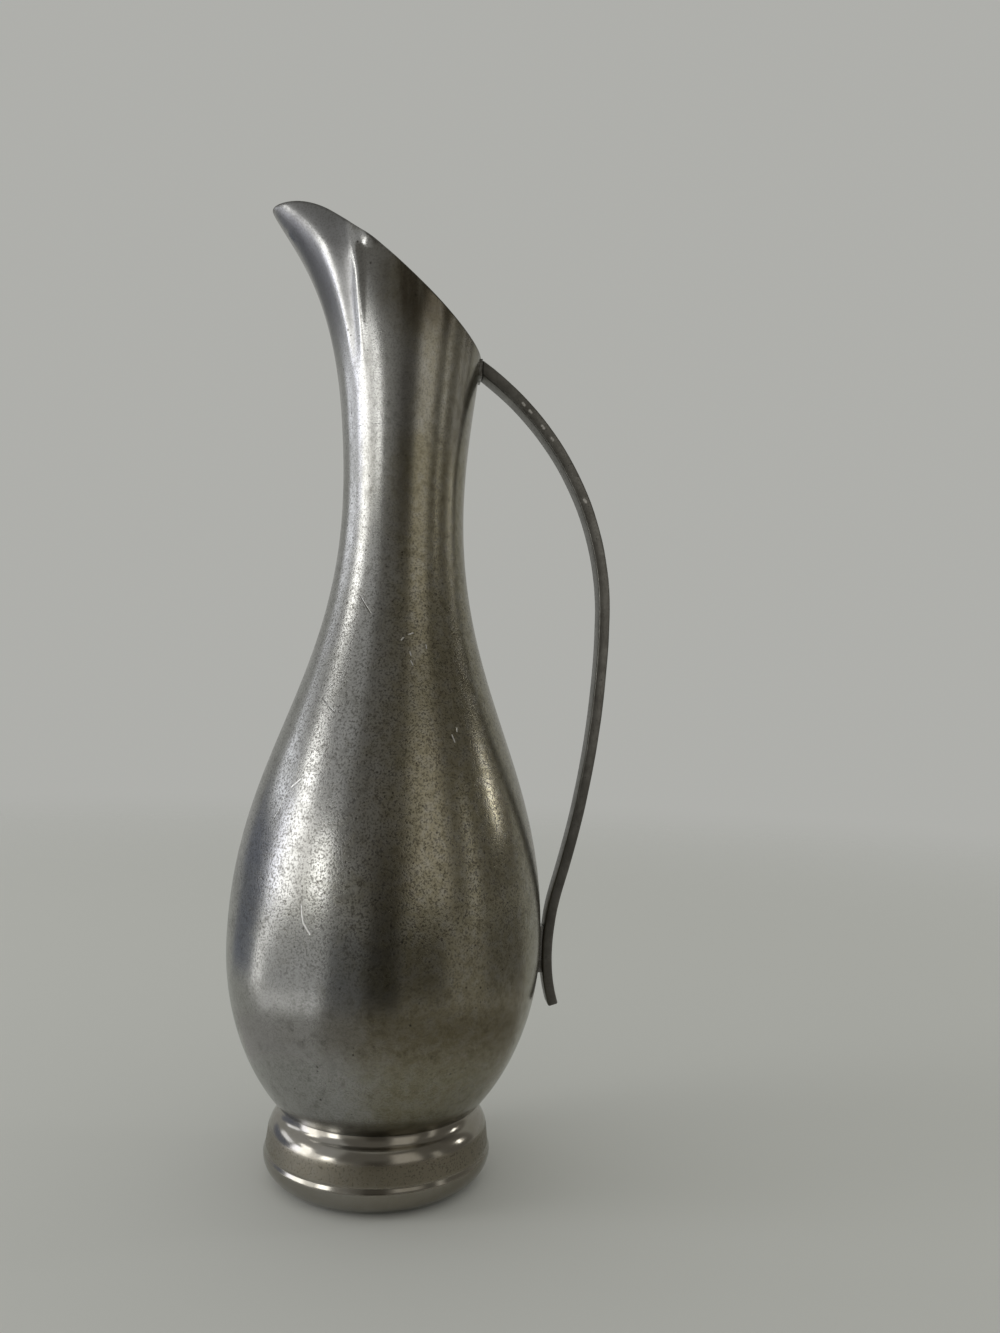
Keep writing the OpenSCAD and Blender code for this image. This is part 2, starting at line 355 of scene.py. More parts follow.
def round_over(bm: BMesh, edges: Sequence[bmesh.types.BMEdge], radius: float) -> None:
    """Round a mesh's edges.

    Args:
        bm: the mesh.
        edges: the edges to round.
        radius: how far the rounding reaches on each side.
    """
    bmesh.ops.bevel(
        bm,
        geom=list(edges),
        offset=radius,
        offset_type="OFFSET",
        segments=ROUND_STEPS,
        profile=0.5,
        affect="EDGES",
        clamp_overlap=True,
        material=-1,
    )


def store(mesh: bpy.types.Mesh, name: str, value: Layer) -> None:
    """Store a number on each vertex, for the finish to read.

    Args:
        mesh: the finished mesh.
        name: name of the stored layer.
        value: gives the number of a point, from 0 to 1.
    """
    layer = mesh.attributes.new(name, "FLOAT", "POINT")
    layer.data.foreach_set("value", [value(vert.co) for vert in mesh.vertices])


def add_piece(
    name: str,
    node: str,
    bm: BMesh,
    material: bpy.types.Material,
    layers: dict[str, Layer] | None = None,
) -> None:
    """Turn a mesh under construction into a piece that stands for a solid of the frame.

    Args:
        name: the piece's name.
        node: the solid that it stands for.
        bm: the mesh, which is freed.
        material: the piece's finish.
        layers: numbers to store on the vertices, where the finish needs them.
    """
    for edge in bm.edges:
        edge.smooth = len(edge.link_faces) == 2 and edge.calc_face_angle(0.0) < SHARP_ANGLE
    for face in bm.faces:
        face.smooth = True
    mesh = bpy.data.meshes.new(name)
    bm.to_mesh(mesh)
    bm.free()
    for layer, value in (layers or {}).items():
        store(mesh, layer, value)
    mesh.materials.append(material)
    piece = bpy.data.objects.new(name, mesh)
    bpy.context.scene.collection.objects.link(piece)
    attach(piece, BODY)
    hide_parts(node)
    LOG.info("%s: %d faces, for %s", name, len(mesh.polygons), node)


def add_turned(
    name: str,
    node: str,
    outline: Outline,
    uneven: Unevenness,
    material: bpy.types.Material,
    closed: bool = True,
) -> None:
    """Spin an outline into a piece and give it the unevenness of hand work.

    Args:
        name: the piece's name.
        node: the solid that it stands for.
        outline: the outline's points in order.
        uneven: the swells of the sheet.
        material: the piece's finish.
        closed: whether the last point joins the first.
    """
    bm = turned(outline, closed)
    uneven.apply(bm)
    add_piece(name, node, bm, material)


class Graph:
    """A material's node tree, with short calls for the nodes that the finishes share."""

    PIT_LEAST: float = 0.16
    PIT_RANGE: float = 0.3
    PIT_FLOOR: float = 0.45
    LINE_CORE: float = 0.2
    LINE_EDGE: float = 0.5

    def __init__(self, name: str) -> None:
        """Start a material that has a principled shader and object coordinates.

        Args:
            name: the material's name.
        """
        self.material = bpy.data.materials.new(name)
        self.material.use_nodes = True
        self.tree = self.material.node_tree
        self.shader = self.tree.nodes["Principled BSDF"]
        self.place = self.tree.nodes.new("ShaderNodeTexCoord").outputs["Object"]

    def fill(self, socket: Socket, value: object) -> None:
        """Link a socket to another one, or set its own value.

        Args:
            socket: the input to fill.
            value: an output to link, or a number, vector or colour.
        """
        if isinstance(value, bpy.types.NodeSocket):
            self.tree.links.new(value, socket)
        elif isinstance(value, tuple) and socket.type == "RGBA":
            socket.default_value = (*value, 1.0)
        else:
            socket.default_value = value

    def math(self, operation: str, a: object, b: object = 0.0, clamp: bool = False) -> Socket:
        """Combine two numbers.

        Args:
            operation: the math node's operation.
            a: first number.
            b: second number.
            clamp: whether to hold the result between 0 and 1.

        Returns:
            The resulting number.
        """
        made = self.tree.nodes.new("ShaderNodeMath")
        made.operation = operation
        made.use_clamp = clamp
        self.fill(made.inputs[0], a)
        self.fill(made.inputs[1], b)
        return made.outputs[0]

    def scaled(self, value: object, factor: float, offset: object) -> Socket:
        """Multiply a number by a factor and add an offset.

        Args:
            value: the number.
            factor: what it is multiplied by.
            offset: what is added.

        Returns:
            The resulting number.
        """
        made = self.math("MULTIPLY_ADD", value, factor)
        self.fill(made.node.inputs[2], offset)
        return made

    def vector(self, operation: str, a: object, b: object = (0.0, 0.0, 0.0)) -> bpy.types.Node:
        """Combine two vectors.

        Args:
            operation: the vector node's operation.
            a: first vector.
            b: second vector.

        Returns:
            The node, because some operations give a vector and some a number.
        """
        made = self.tree.nodes.new("ShaderNodeVectorMath")
        made.operation = operation
        self.fill(made.inputs[0], a)
        self.fill(made.inputs[1], b)
        return made

    def axis(self, index: int) -> Socket:
        """One of the object coordinates.

        Args:
            index: 0 for x, 1 for y and 2 for z.

        Returns:
            The coordinate.
        """
        made = self.tree.nodes.new("ShaderNodeSeparateXYZ")
        self.fill(made.inputs[0], self.place)
        return made.outputs[index]

    def stored(self, name: str) -> Socket:
        """A number that the mesh stores on its vertices.

        Args:
            name: name of the stored layer.

        Returns:
            The number.
        """
        made = self.tree.nodes.new("ShaderNodeAttribute")
        made.attribute_name = name
        return made.outputs["Fac"]

    def towards_handle(self) -> Socket:
        """Share by which a point faces the handle: 1 at the handle and -1 at the spout."""
        level = self.vector("MULTIPLY", self.place, (1.0, 1.0, 0.0)).outputs[0]
        return self.math("DIVIDE", self.axis(0), self.vector("LENGTH", level).outputs["Value"])

    def spread(
        self, value: object, low: object, high: object, start: float = 0.0, end: float = 1.0
    ) -> Socket:
        """Ease a number from start to end while it goes from low to high.

        Args:
            value: the number.
            low: where the result is start.
            high: where the result is end.
            start: result at and before low.
            end: result at and beyond high.

        Returns:
            The eased number.
        """
        made = self.tree.nodes.new("ShaderNodeMapRange")
        made.interpolation_type = "SMOOTHSTEP"
        for socket, given in zip(made.inputs[:5], (value, low, high, start, end)):
            self.fill(socket, given)
        return made.outputs[0]

    def blend(self, share: object, a: object, b: object) -> Socket:
        """Mix two colours.

        Args:
            share: share of the second colour.
            a: first colour.
            b: second colour.

        Returns:
            The mixed colour.
        """
        made = self.tree.nodes.new("ShaderNodeMix")
        made.data_type = "RGBA"
        self.fill(made.inputs[0], share)
        self.fill(made.inputs[6], a)
        self.fill(made.inputs[7], b)
        return made.outputs[2]

    def stretched(self, scale: tuple[float, float, float]) -> Socket:
        """Object coordinates scaled along each axis."""
        return self.vector("MULTIPLY", self.place, scale).outputs[0]

    def joined(self, patterns: Sequence[Socket]) -> Socket:
        """Several patterns as one, by the largest number among them.

        Args:
            patterns: the patterns.

        Returns:
            The joined pattern.
        """
        shown = patterns[0]
        for pattern in patterns[1:]:
            shown = self.math("MAXIMUM", shown, pattern)
        return shown

    def overlaid(self, layers: Sequence[Socket]) -> Socket:
        """The share that layers laid on each other cover together.

        Args:
            layers: the share that each one covers.

        Returns:
            A number from 0 to 1.
        """
        bare = self.math("SUBTRACT", 1.0, layers[0])
        for layer in layers[1:]:
            bare = self.math("MULTIPLY", bare, self.math("SUBTRACT", 1.0, layer))
        return self.math("SUBTRACT", 1.0, bare)

    def cloud(
        self,
        size: float,
        detail: float = 3.0,
        rough: float = 0.55,
        swirl: float = 0.0,
        place: Socket | None = None,
    ) -> Socket:
        """Cloudy noise.

        Args:
            size: length of one cloud.
            detail: number of finer layers.
            rough: weight of the finer layers.
            swirl: how much the clouds are twisted.
            place: coordinates, where they aren't the plain object ones.

        Returns:
            A number about 0.5.
        """
        made = self.tree.nodes.new("ShaderNodeTexNoise")
        self.fill(made.inputs["Vector"], place or self.place)
        made.inputs["Scale"].default_value = 1 / size
        made.inputs["Detail"].default_value = detail
        made.inputs["Roughness"].default_value = rough
        made.inputs["Distortion"].default_value = swirl
        return made.outputs["Fac"]

    def pits(self, spacing: float, share: object) -> Socket:
        """Round pits of mixed size.

        Args:
            spacing: mean distance between places that may hold a pit.
            share: part of those places that does, from 0 to 1.

        Returns:
            A number that is 1 in a pit and 0 on the sound surface.
        """
        made = self.tree.nodes.new("ShaderNodeTexVoronoi")
        self.fill(made.inputs["Vector"], self.place)
        made.inputs["Scale"].default_value = 1 / spacing
        chance = self.tree.nodes.new("ShaderNodeSeparateColor")
        self.fill(chance.inputs[0], made.outputs["Color"])
        present = self.math("LESS_THAN", chance.outputs[0], share)
        reach = self.scaled(chance.outputs[1], self.PIT_RANGE, self.PIT_LEAST)
        inner = self.math("MULTIPLY", reach, self.PIT_FLOOR)
        inside = self.spread(made.outputs["Distance"], inner, reach, 1.0, 0.0)
        return self.math("MULTIPLY", inside, present)

    def line(self, start: Vector, end: Vector, width: float) -> Socket:
        """A scratch along a straight stretch.

        Args:
            start: one end.
            end: the other end.
            width: full width.

        Returns:
            A number that is 1 on the scratch and 0 beside it.
        """
        run = end - start
        offset = self.vector("SUBTRACT", self.place, tuple(start)).outputs[0]
        along = self.vector("DOT_PRODUCT", offset, tuple(run / run.length_squared)).outputs["Value"]
        nearest = self.vector("SCALE", tuple(run))
        self.fill(nearest.inputs["Scale"], self.math("ADD", along, 0.0, clamp=True))
        gap = self.vector("DISTANCE", offset, nearest.outputs[0]).outputs["Value"]
        return self.spread(gap, width * self.LINE_CORE, width * self.LINE_EDGE, 1.0, 0.0)

    def metal(
        self, colour: Socket, rough: Socket, height: Socket, depth: float, strength: float
    ) -> bpy.types.Material:
        """Make the material a metal with a fine relief.

        Args:
            colour: the metal's colour.
            rough: its roughness.
            height: pattern of the relief.
            depth: depth of the relief.
            strength: how strongly the relief shows.

        Returns:
            The finished material.
        """
        relief = self.tree.nodes.new("ShaderNodeBump")
        relief.inputs["Strength"].default_value = strength
        relief.inputs["Distance"].default_value = depth
        self.fill(relief.inputs["Height"], height)
        self.fill(self.shader.inputs["Base Color"], colour)
        self.fill(self.shader.inputs["Roughness"], rough)
        self.fill(self.shader.inputs["Normal"], relief.outputs[0])
        self.shader.inputs["Metallic"].default_value = 1.0
        return self.material


@dataclass(frozen=True)
class Scratch:
    """One scratch, given by the turn and height of its ends on the body."""

    start: tuple[float, float]
    end: tuple[float, float]
    mark: Mark
    width: float = 0.0005


@dataclass(frozen=True)
class AgedPewter:
    """Old pewter of the body: rubbed metal, brown tarnish towards the handle, painted shade on the beak's
    flanks, stipple and scratches.
    """

    lines: BodyLines
    name: str = "aged_pewter"
    clean: Colour = (0.4, 0.398, 0.388)
    dull: Colour = (0.27, 0.266, 0.237)
    brown: Colour = (0.26, 0.235, 0.155)
    dirt: Colour = (0.045, 0.04, 0.032)
    bright: Colour = (0.72, 0.715, 0.7)
    deep: Colour = (0.085, 0.07, 0.048)
    flank_shade: Colour = (0.12, 0.12, 0.125)
    rough_low: float = 0.18
    rough_high: float = 0.26
    wash_size: float = 0.035
    smudge_size: float = 0.006
    mottle_size: float = 0.0022
    streak_size: float = 0.0035
    streak_squeeze: float = 0.12
    cluster_size: float = 0.012
    grain_size: float = 0.00048
    pit_spacing: float = 0.00085
    pit_depth: float = 0.00012
    flank_shade_share: float = 0.9
    pit_share: float = 0.8
    dark_share: float = 0.7
    bright_share: float = 0.85
    recess_share: float = 0.35
    dim_rough: float = 0.18
    pit_rough: float = 0.05
    bright_rough: float = 0.2
    mottle_relief: float = 0.07
    pit_relief: float = 0.28
    relief: float = 0.35
    recess_h: float = 0.0025
    recess_full_h: float = 0.001
    tide_waver: float = 0.016
    tide_below: float = 0.006
    tide_above: float = 0.002
    mouth_z: Range = (0.196, 0.214)
    flank_z: Range = (0.198, 0.212)
    stain_z: Range = (0.212, 0.185)
    grain_start_z: Range = (0.045, 0.07)
    grain_end_z: Range = (0.175, 0.13)
    scratches: tuple[Scratch, ...] = (
        Scratch((-40.7, 0.0972), (-44.8, 0.0952), Mark.BRIGHT),
        Scratch((-46.5, 0.0943), (-48.4, 0.0899), Mark.BRIGHT, 0.00025),
        Scratch((-48.4, 0.0899), (-49.9, 0.0882), Mark.BRIGHT, 0.0002),
        Scratch((-29.3, 0.0708), (-28.8, 0.0689), Mark.BRIGHT, 0.00035),
        Scratch((-28.8, 0.0689), (-27.9, 0.0671), Mark.BRIGHT, 0.00035),
        Scratch((-27.9, 0.0671), (-25.2, 0.0650), Mark.BRIGHT, 0.00045),
        Scratch((-31.9, 0.1405), (-21.0, 0.1363), Mark.DARK, 0.0004),
        Scratch((-42.1, 0.1156), (-31.5, 0.1125), Mark.DARK, 0.0004),
        Scratch((2.2, 0.1301), (3.5, 0.1307), Mark.BRIGHT, 0.0004),
        Scratch((7.1, 0.1315), (9.9, 0.1319), Mark.BRIGHT, 0.0004),
        Scratch((7.8, 0.1273), (8.4, 0.1266), Mark.BRIGHT, 0.0005),
        Scratch((8.3, 0.1252), (9.5, 0.1243), Mark.BRIGHT, 0.0004),
        Scratch((18.5, 0.1292), (18.7, 0.1284), Mark.BRIGHT, 0.0004),
        Scratch((28.4, 0.1084), (29.4, 0.1068), Mark.BRIGHT, 0.0004),
        Scratch((32.0, 0.1100), (31.6, 0.1092), Mark.BRIGHT, 0.0004),
    )

    def scratched(self, g: Graph, mark: Mark) -> Socket:
        """All scratches of one kind as one pattern.

        Args:
            g: the material's nodes.
            mark: the kind of scratch.

        Returns:
            The joined pattern.
        """
        made: list[Socket] = []
        for scratch in self.scratches:
            if scratch.mark is mark:
                places = (scratch.start, scratch.end)
                ends = [around(turn, self.lines.radius_at(z), z) for turn, z in places]
                made.append(g.line(*ends, scratch.width))
        return g.joined(made)

    def tarnish(self, g: Graph, z: Socket, smudge: Socket, mottle: Socket) -> Socket:
        """Colour of the bare metal: washed grey, dim on the beak's flanks and brown towards the handle.

        Args:
            g: the material's nodes.
            z: height above the floor.
            smudge: clouds of the width of a finger's smudge.
            mottle: finer clouds.

        Returns:
            Colour of the bare metal: washed grey, with painted shade on the beak's flanks, and brown
                towards the handle.
        """
        seam_z = self.lines.seam_z
        ragged = g.scaled(smudge, self.tide_waver, g.math("SUBTRACT", z, self.tide_waver / 2))
        above_tide = g.spread(ragged, seam_z - self.tide_below, seam_z + self.tide_above)
        side = g.scaled(smudge, 0.5, g.math("SUBTRACT", g.towards_handle(), 0.25))
        side = g.scaled(g.spread(z, *self.mouth_z), 0.4, side)
        side = g.scaled(above_tide, -0.2, g.math("ADD", side, 0.2))
        handle_side = g.spread(side, -0.15, 0.35)

        wash = g.math("MULTIPLY", g.spread(smudge, 0.42, 0.7), 0.3)
        wash = g.scaled(g.spread(g.cloud(self.wash_size), 0.36, 0.66), 0.35, wash)
        wash = g.math("SUBTRACT", wash, g.math("MULTIPLY", above_tide, 0.3), clamp=True)
        colour = g.blend(wash, self.clean, self.dull)
        # Painted shade: the beak's flanks between the creases are darkened to stand in for the dim
        # surroundings they reflect.
        colour = g.blend(g.math("MULTIPLY", g.stored(DULL_AND_SHADE), self.flank_shade_share), colour, self.flank_shade)

        browned = g.math("MULTIPLY", handle_side, g.spread(mottle, 0.2, 0.65, 0.6, 1.0))
        browned = g.math("MULTIPLY", browned, g.scaled(above_tide, -0.2, 0.9))
        colour = g.blend(browned, colour, self.brown)

        drawn_out = g.stretched((1.0, 1.0, self.streak_squeeze))
        streaks = g.spread(g.cloud(self.streak_size, 3.0, 0.6, 0.3, drawn_out), 0.3, 0.6, 0.35, 0.85)
        flank = g.math("MULTIPLY", g.spread(z, *self.flank_z), handle_side)
        return g.blend(g.math("MULTIPLY", flank, streaks), colour, self.deep)

    def grime_and_darkening(self, g: Graph, z: Socket, smudge: Socket, mottle: Socket) -> Socket:
        """Share of darkening along the rim's edge and in the recess over the foot, and of old dirt in
        blotches on the body.

        Args:
            g: the material's nodes.
            z: height above the floor.
            smudge: clouds of the width of a finger's smudge.
            mottle: finer clouds.

        Returns:
            A number from 0 to 1.
        """
        floor_z = self.lines.bowl_floor
        recess_top, recess_full = floor_z + self.recess_h, floor_z + self.recess_full_h
        rim = g.math("MULTIPLY", g.stored(RIM), g.spread(smudge, 0.3, 0.6, 0.45, 0.9))
        recess = g.spread(z, recess_top, recess_full, 0.0, self.recess_share)
        stained = g.math("MULTIPLY", g.spread(mottle, 0.48, 0.7), g.spread(smudge, 0.4, 0.62, 0.25, 1.0))
        stained = g.math("MULTIPLY", stained, g.spread(z, *self.stain_z, 0.08, 0.32))
        return g.overlaid([rim, recess, stained])

    def pitting(self, g: Graph, z: Socket) -> Socket:
        """Pattern of the fine dark grain and of the pits that cluster on the body.

        Args:
            g: the material's nodes.
            z: height above the floor.

        Returns:
            A number that is 1 in a pit.
        """
        zone = g.math("MULTIPLY", g.spread(z, *self.grain_start_z), g.spread(z, *self.grain_end_z))
        grain = g.spread(g.cloud(self.grain_size, 2.0, 0.6), 0.46, 0.66)
        stipple = g.math("MULTIPLY", grain, g.scaled(zone, 0.46, 0.32))
        clusters = g.spread(g.cloud(self.cluster_size, 3.0, 0.6), 0.4, 0.62, 0.25, 1.0)
        pits = g.pits(self.pit_spacing, g.scaled(g.math("MULTIPLY", zone, clusters), 0.3, 0.02))
        return g.joined([stipple, pits])

    def material(self) -> bpy.types.Material:
        """Build the finish as a node material.

        Returns:
            The new material.
        """
        g = Graph(self.name)
        z = g.axis(2)
        smudge = g.cloud(self.smudge_size, 6.0, 0.68, 0.8)
        mottle = g.cloud(self.mottle_size, 3.0, 0.6)
        pits = self.pitting(g, z)
        dark = self.scratched(g, Mark.DARK)
        bright = self.scratched(g, Mark.BRIGHT)

        colour = self.tarnish(g, z, smudge, mottle)
        colour = g.blend(self.grime_and_darkening(g, z, smudge, mottle), colour, self.dirt)
        colour = g.blend(g.math("MULTIPLY", pits, self.pit_share), colour, self.dirt)
        colour = g.blend(g.math("MULTIPLY", dark, self.dark_share), colour, self.dirt)
        colour = g.blend(g.math("MULTIPLY", bright, self.bright_share), colour, self.bright)

        rough = g.spread(smudge, 0.3, 0.75, self.rough_low, self.rough_high)
        rough = g.scaled(g.stored(DULL_AND_SHADE), self.dim_rough, g.scaled(pits, self.pit_rough, rough))
        rough = g.scaled(bright, self.bright_rough, rough)

        sunk = g.math("MULTIPLY", pits, self.pit_relief)
        height = g.math("SUBTRACT", g.math("MULTIPLY", mottle, self.mottle_relief), sunk)
        height = g.math("SUBTRACT", height, g.joined([dark, bright]))
        return g.metal(colour, rough, height, self.pit_depth, self.relief)


@dataclass(frozen=True)
class PolishedPewter:
    """Pewter of the foot: bright on its roundings, with brown, grainy tarnish on the flat band."""

    name: str = "polished_pewter"
    clean: Colour = (0.34, 0.325, 0.295)
    brown: Colour = (0.25, 0.225, 0.174)
    dirt: Colour = (0.05, 0.043, 0.033)
    rough_low: float = 0.13
    rough_high: float = 0.2
    band_rough: float = 0.2
    band_low: float = 0.0084
    band_high: float = 0.0118
    blend_h: float = 0.0012
    broad_size: float = 0.012
    smudge_size: float = 0.003
    grain_size: float = 0.0005
    pit_share: float = 0.5
    pit_rough: float = 0.15
    pit_depth: float = 0.00008
    relief: float = 0.3

    def material(self) -> bpy.types.Material:
        """Build the finish as a node material.

        Returns:
            The new material.
        """
        g = Graph(self.name)
        z = g.axis(2)
        broad = g.cloud(self.broad_size, 4.0, 0.6, 0.5)
        smudge = g.cloud(self.smudge_size, 5.0, 0.65, 0.6)
        grain = g.cloud(self.grain_size, 3.0, 0.6)
        over = g.spread(z, self.band_low - self.blend_h, self.band_low)
        band = g.math("MULTIPLY", over, g.spread(z, self.band_high + self.blend_h, self.band_high))
        side = g.scaled(broad, 0.6, g.math("SUBTRACT", g.towards_handle(), 0.3))
        browned = g.scaled(g.spread(side, -0.5, 0.3), 0.5, g.spread(smudge, 0.35, 0.7, 0.0, 0.25))
        browned = g.scaled(band, 0.55, browned)
        colour = g.blend(g.math("MINIMUM", browned, 1.0), self.clean, self.brown)
        level = g.scaled(band, -0.2, 0.74)
        pits = g.spread(grain, level, g.math("ADD", level, 0.08))
        colour = g.blend(g.math("MULTIPLY", pits, self.pit_share), colour, self.dirt)
        rough = g.spread(smudge, 0.3, 0.75, self.rough_low, self.rough_high)
        rough = g.scaled(pits, self.pit_rough, g.scaled(band, self.band_rough, rough))
        rise = g.scaled(g.math("MULTIPLY", grain, band), 0.5, g.math("MULTIPLY", smudge, 0.15))
        return g.metal(colour, rough, g.math("SUBTRACT", rise, pits), self.pit_depth, self.relief)


@dataclass(frozen=True)
class DarkStrap:
    """The strap's darkened pewter: a cast grain, lighter corners and a few bright nicks."""

    name: str = "dark_strap"
    metal: Colour = (0.2, 0.195, 0.178)
    dark: Colour = (0.095, 0.09, 0.078)
    dirt: Colour = (0.03, 0.028, 0.023)
    bright: Colour = (0.6, 0.59, 0.56)
    rough_low: float = 0.3
    rough_high: float = 0.48
    smudge_size: float = 0.004
    grain_size: float = 0.0006
    pit_spacing: float = 0.0008
    pit_share: float = 0.6
    pit_depth: float = 0.00012
    relief: float = 0.4
    nicks: tuple[tuple[float, float], ...] = (
        (0.0294, 0.1936),
        (0.0312, 0.1918),
        (0.0346, 0.1880),
        (0.0370, 0.1851),
        (0.0462, 0.1695),
    )
    nick_run: Vector = Vector((0.0005, 0.0, -0.0006))
    nick_width: float = 0.0009

    def material(self, front_y: float) -> bpy.types.Material:
        """Build the finish as a node material.

        Args:
            front_y: where the strap's front edge lies, for the nicks on it.

        Returns:
            The new material.
        """
        g = Graph(self.name)
        smudge = g.cloud(self.smudge_size, 5.0, 0.65, 0.4)
        grain = g.cloud(self.grain_size, 3.0, 0.6)
        colour = g.blend(g.spread(smudge, 0.35, 0.68), self.metal, self.dark)
        pits = g.pits(self.pit_spacing, g.spread(grain, 0.4, 0.7, 0.1, 0.6))
        colour = g.blend(g.math("MULTIPLY", pits, self.pit_share), colour, self.dirt)
        worn = g.math("MULTIPLY", g.spread(smudge, 0.4, 0.6, 0.1, 0.45), g.stored(WEAR))
        colour = g.blend(worn, colour, self.metal)
        starts = [Vector((x, front_y, z)) for x, z in self.nicks]
        nicked = g.joined([g.line(start, start + self.nick_run, self.nick_width) for start in starts])
        nicked = g.math("MULTIPLY", nicked, g.spread(grain, 0.35, 0.55))
        colour = g.blend(nicked, colour, self.bright)
        rough = g.spread(grain, 0.3, 0.75, self.rough_low, self.rough_high)
        height = g.math("SUBTRACT", g.math("MULTIPLY", grain, 0.5), pits)
        return g.metal(colour, rough, height, self.pit_depth, self.relief)


@dataclass(frozen=True)
class SoftSolder:
    """Soft solder that ran and froze: grey, lumpy and a little brighter where it was scraped."""

    name: str = "soft_solder"
    metal: Colour = (0.3, 0.295, 0.28)
    dark: Colour = (0.12, 0.115, 0.1)
    rough_low: float = 0.2
    rough_high: float = 0.42
    lump_size: float = 0.0024
    lump_depth: float = 0.0003
    relief: float = 0.5

    def material(self) -> bpy.types.Material:
        """Build the finish as a node material.

        Returns:
            The new material.
        """
        g = Graph(self.name)
        lumps = g.cloud(self.lump_size, 4.0, 0.6, 0.4)
        colour = g.blend(g.spread(lumps, 0.35, 0.65), self.dark, self.metal)
        rough = g.spread(lumps, 0.3, 0.7, self.rough_high, self.rough_low)
        return g.metal(colour, rough, lumps, self.lump_depth, self.relief)


@dataclass(frozen=True)
class Foot:
    """Spun hollow foot: rest ring, bead, flat band, round brow and collar."""

    lines: BodyLines
    bead_z: float = 0.00605
    bead_r: float = 0.002
    slope: float = 22.0
    rest_r: float = 0.0198
    rest_w: float = 0.0022
    collar_r: float = 0.0224
    edge_r: float = 0.0008
    cove_r: float = 0.0003
    cove_angle: float = 72.9
    brow_r: float = 0.006
    band_angle: float = 7.0
    band_h: float = 0.0037
    hollow_r: float = 0.001
    gauge: float = 0.0015
    seat_w: float = 0.005

    @property
    def cove(self) -> tuple[float, float]:
        """Centre of the small cove under the collar."""
        return self.collar_r + self.cove_r, self.lines.foot_h - self.edge_r

    @property
    def brow(self) -> tuple[float, float]:
        """Centre of the brow's rounding.

        Returns:
            Radius and height.
        """
        turn = math.radians(self.cove_angle)
        reach = self.cove_r + self.brow_r
        return self.cove[0] - reach * math.cos(turn), self.cove[1] - reach * math.sin(turn)

    def outside(self) -> Outline:
        """The mouldings from the floor to the collar's top.

        Returns:
            The outline's points in order.
        """
        b = self.lines
        lean = math.radians(self.band_angle)
        reach = self.brow_r + self.hollow_r
        hollow_x = self.brow[0] + reach * math.cos(lean) + self.band_h * math.tan(lean)
        hollow_z = self.brow[1] + reach * math.sin(lean) - self.band_h
        side = arc((self.rest_r, self.bead_z), b.foot_r - self.rest_r, self.bead_z, -90, 0)
        side += arc((b.foot_r - self.bead_r, self.bead_z), self.bead_r, self.bead_r, 0, self.slope)[1:]
        bends = (180 + self.slope, 180 + self.band_angle)
        side += arc((hollow_x, hollow_z), self.hollow_r, self.hollow_r, *bends)
        side += arc(self.brow, self.brow_r, self.brow_r, self.band_angle, self.cove_angle)
        side += arc(self.cove, self.cove_r, self.cove_r, 180 + self.cove_angle, 180)[1:]
        edge = (self.collar_r - self.edge_r, b.foot_h - self.edge_r)
        return side + arc(edge, self.edge_r, self.edge_r, 0, 90)[1:]

    def inside(self) -> Outline:
        """The hollow's side from the floor to the underside of the seat.

        Returns:
            The outline's points in order.
        """
        reach = self.lines.foot_r - self.rest_r - self.gauge
        inner_r = self.brow_r - self.gauge
        side = arc((self.rest_r, self.bead_z), reach, self.bead_z - self.gauge, -90, 0)
        return side + arc(self.brow, inner_r, inner_r, self.band_angle, 90)

    def build(self, uneven: Unevenness, finish: PolishedPewter) -> None:
        """Make the foot.

        Args:
            uneven: the swells of the sheet.
            finish: the piece's finish.
        """
        top = self.lines.foot_h
        lip = self.collar_r - self.seat_w
        under = top - self.gauge
        seat = [(lip, top), (lip, under)]
        rest = [(self.rest_r - self.rest_w, self.gauge), (self.rest_r - self.rest_w, 0.0)]
        outline = self.outside() + seat + self.inside()[::-1] + rest
        add_turned("turned_foot", "foot_ring", outline, uneven, finish.material())


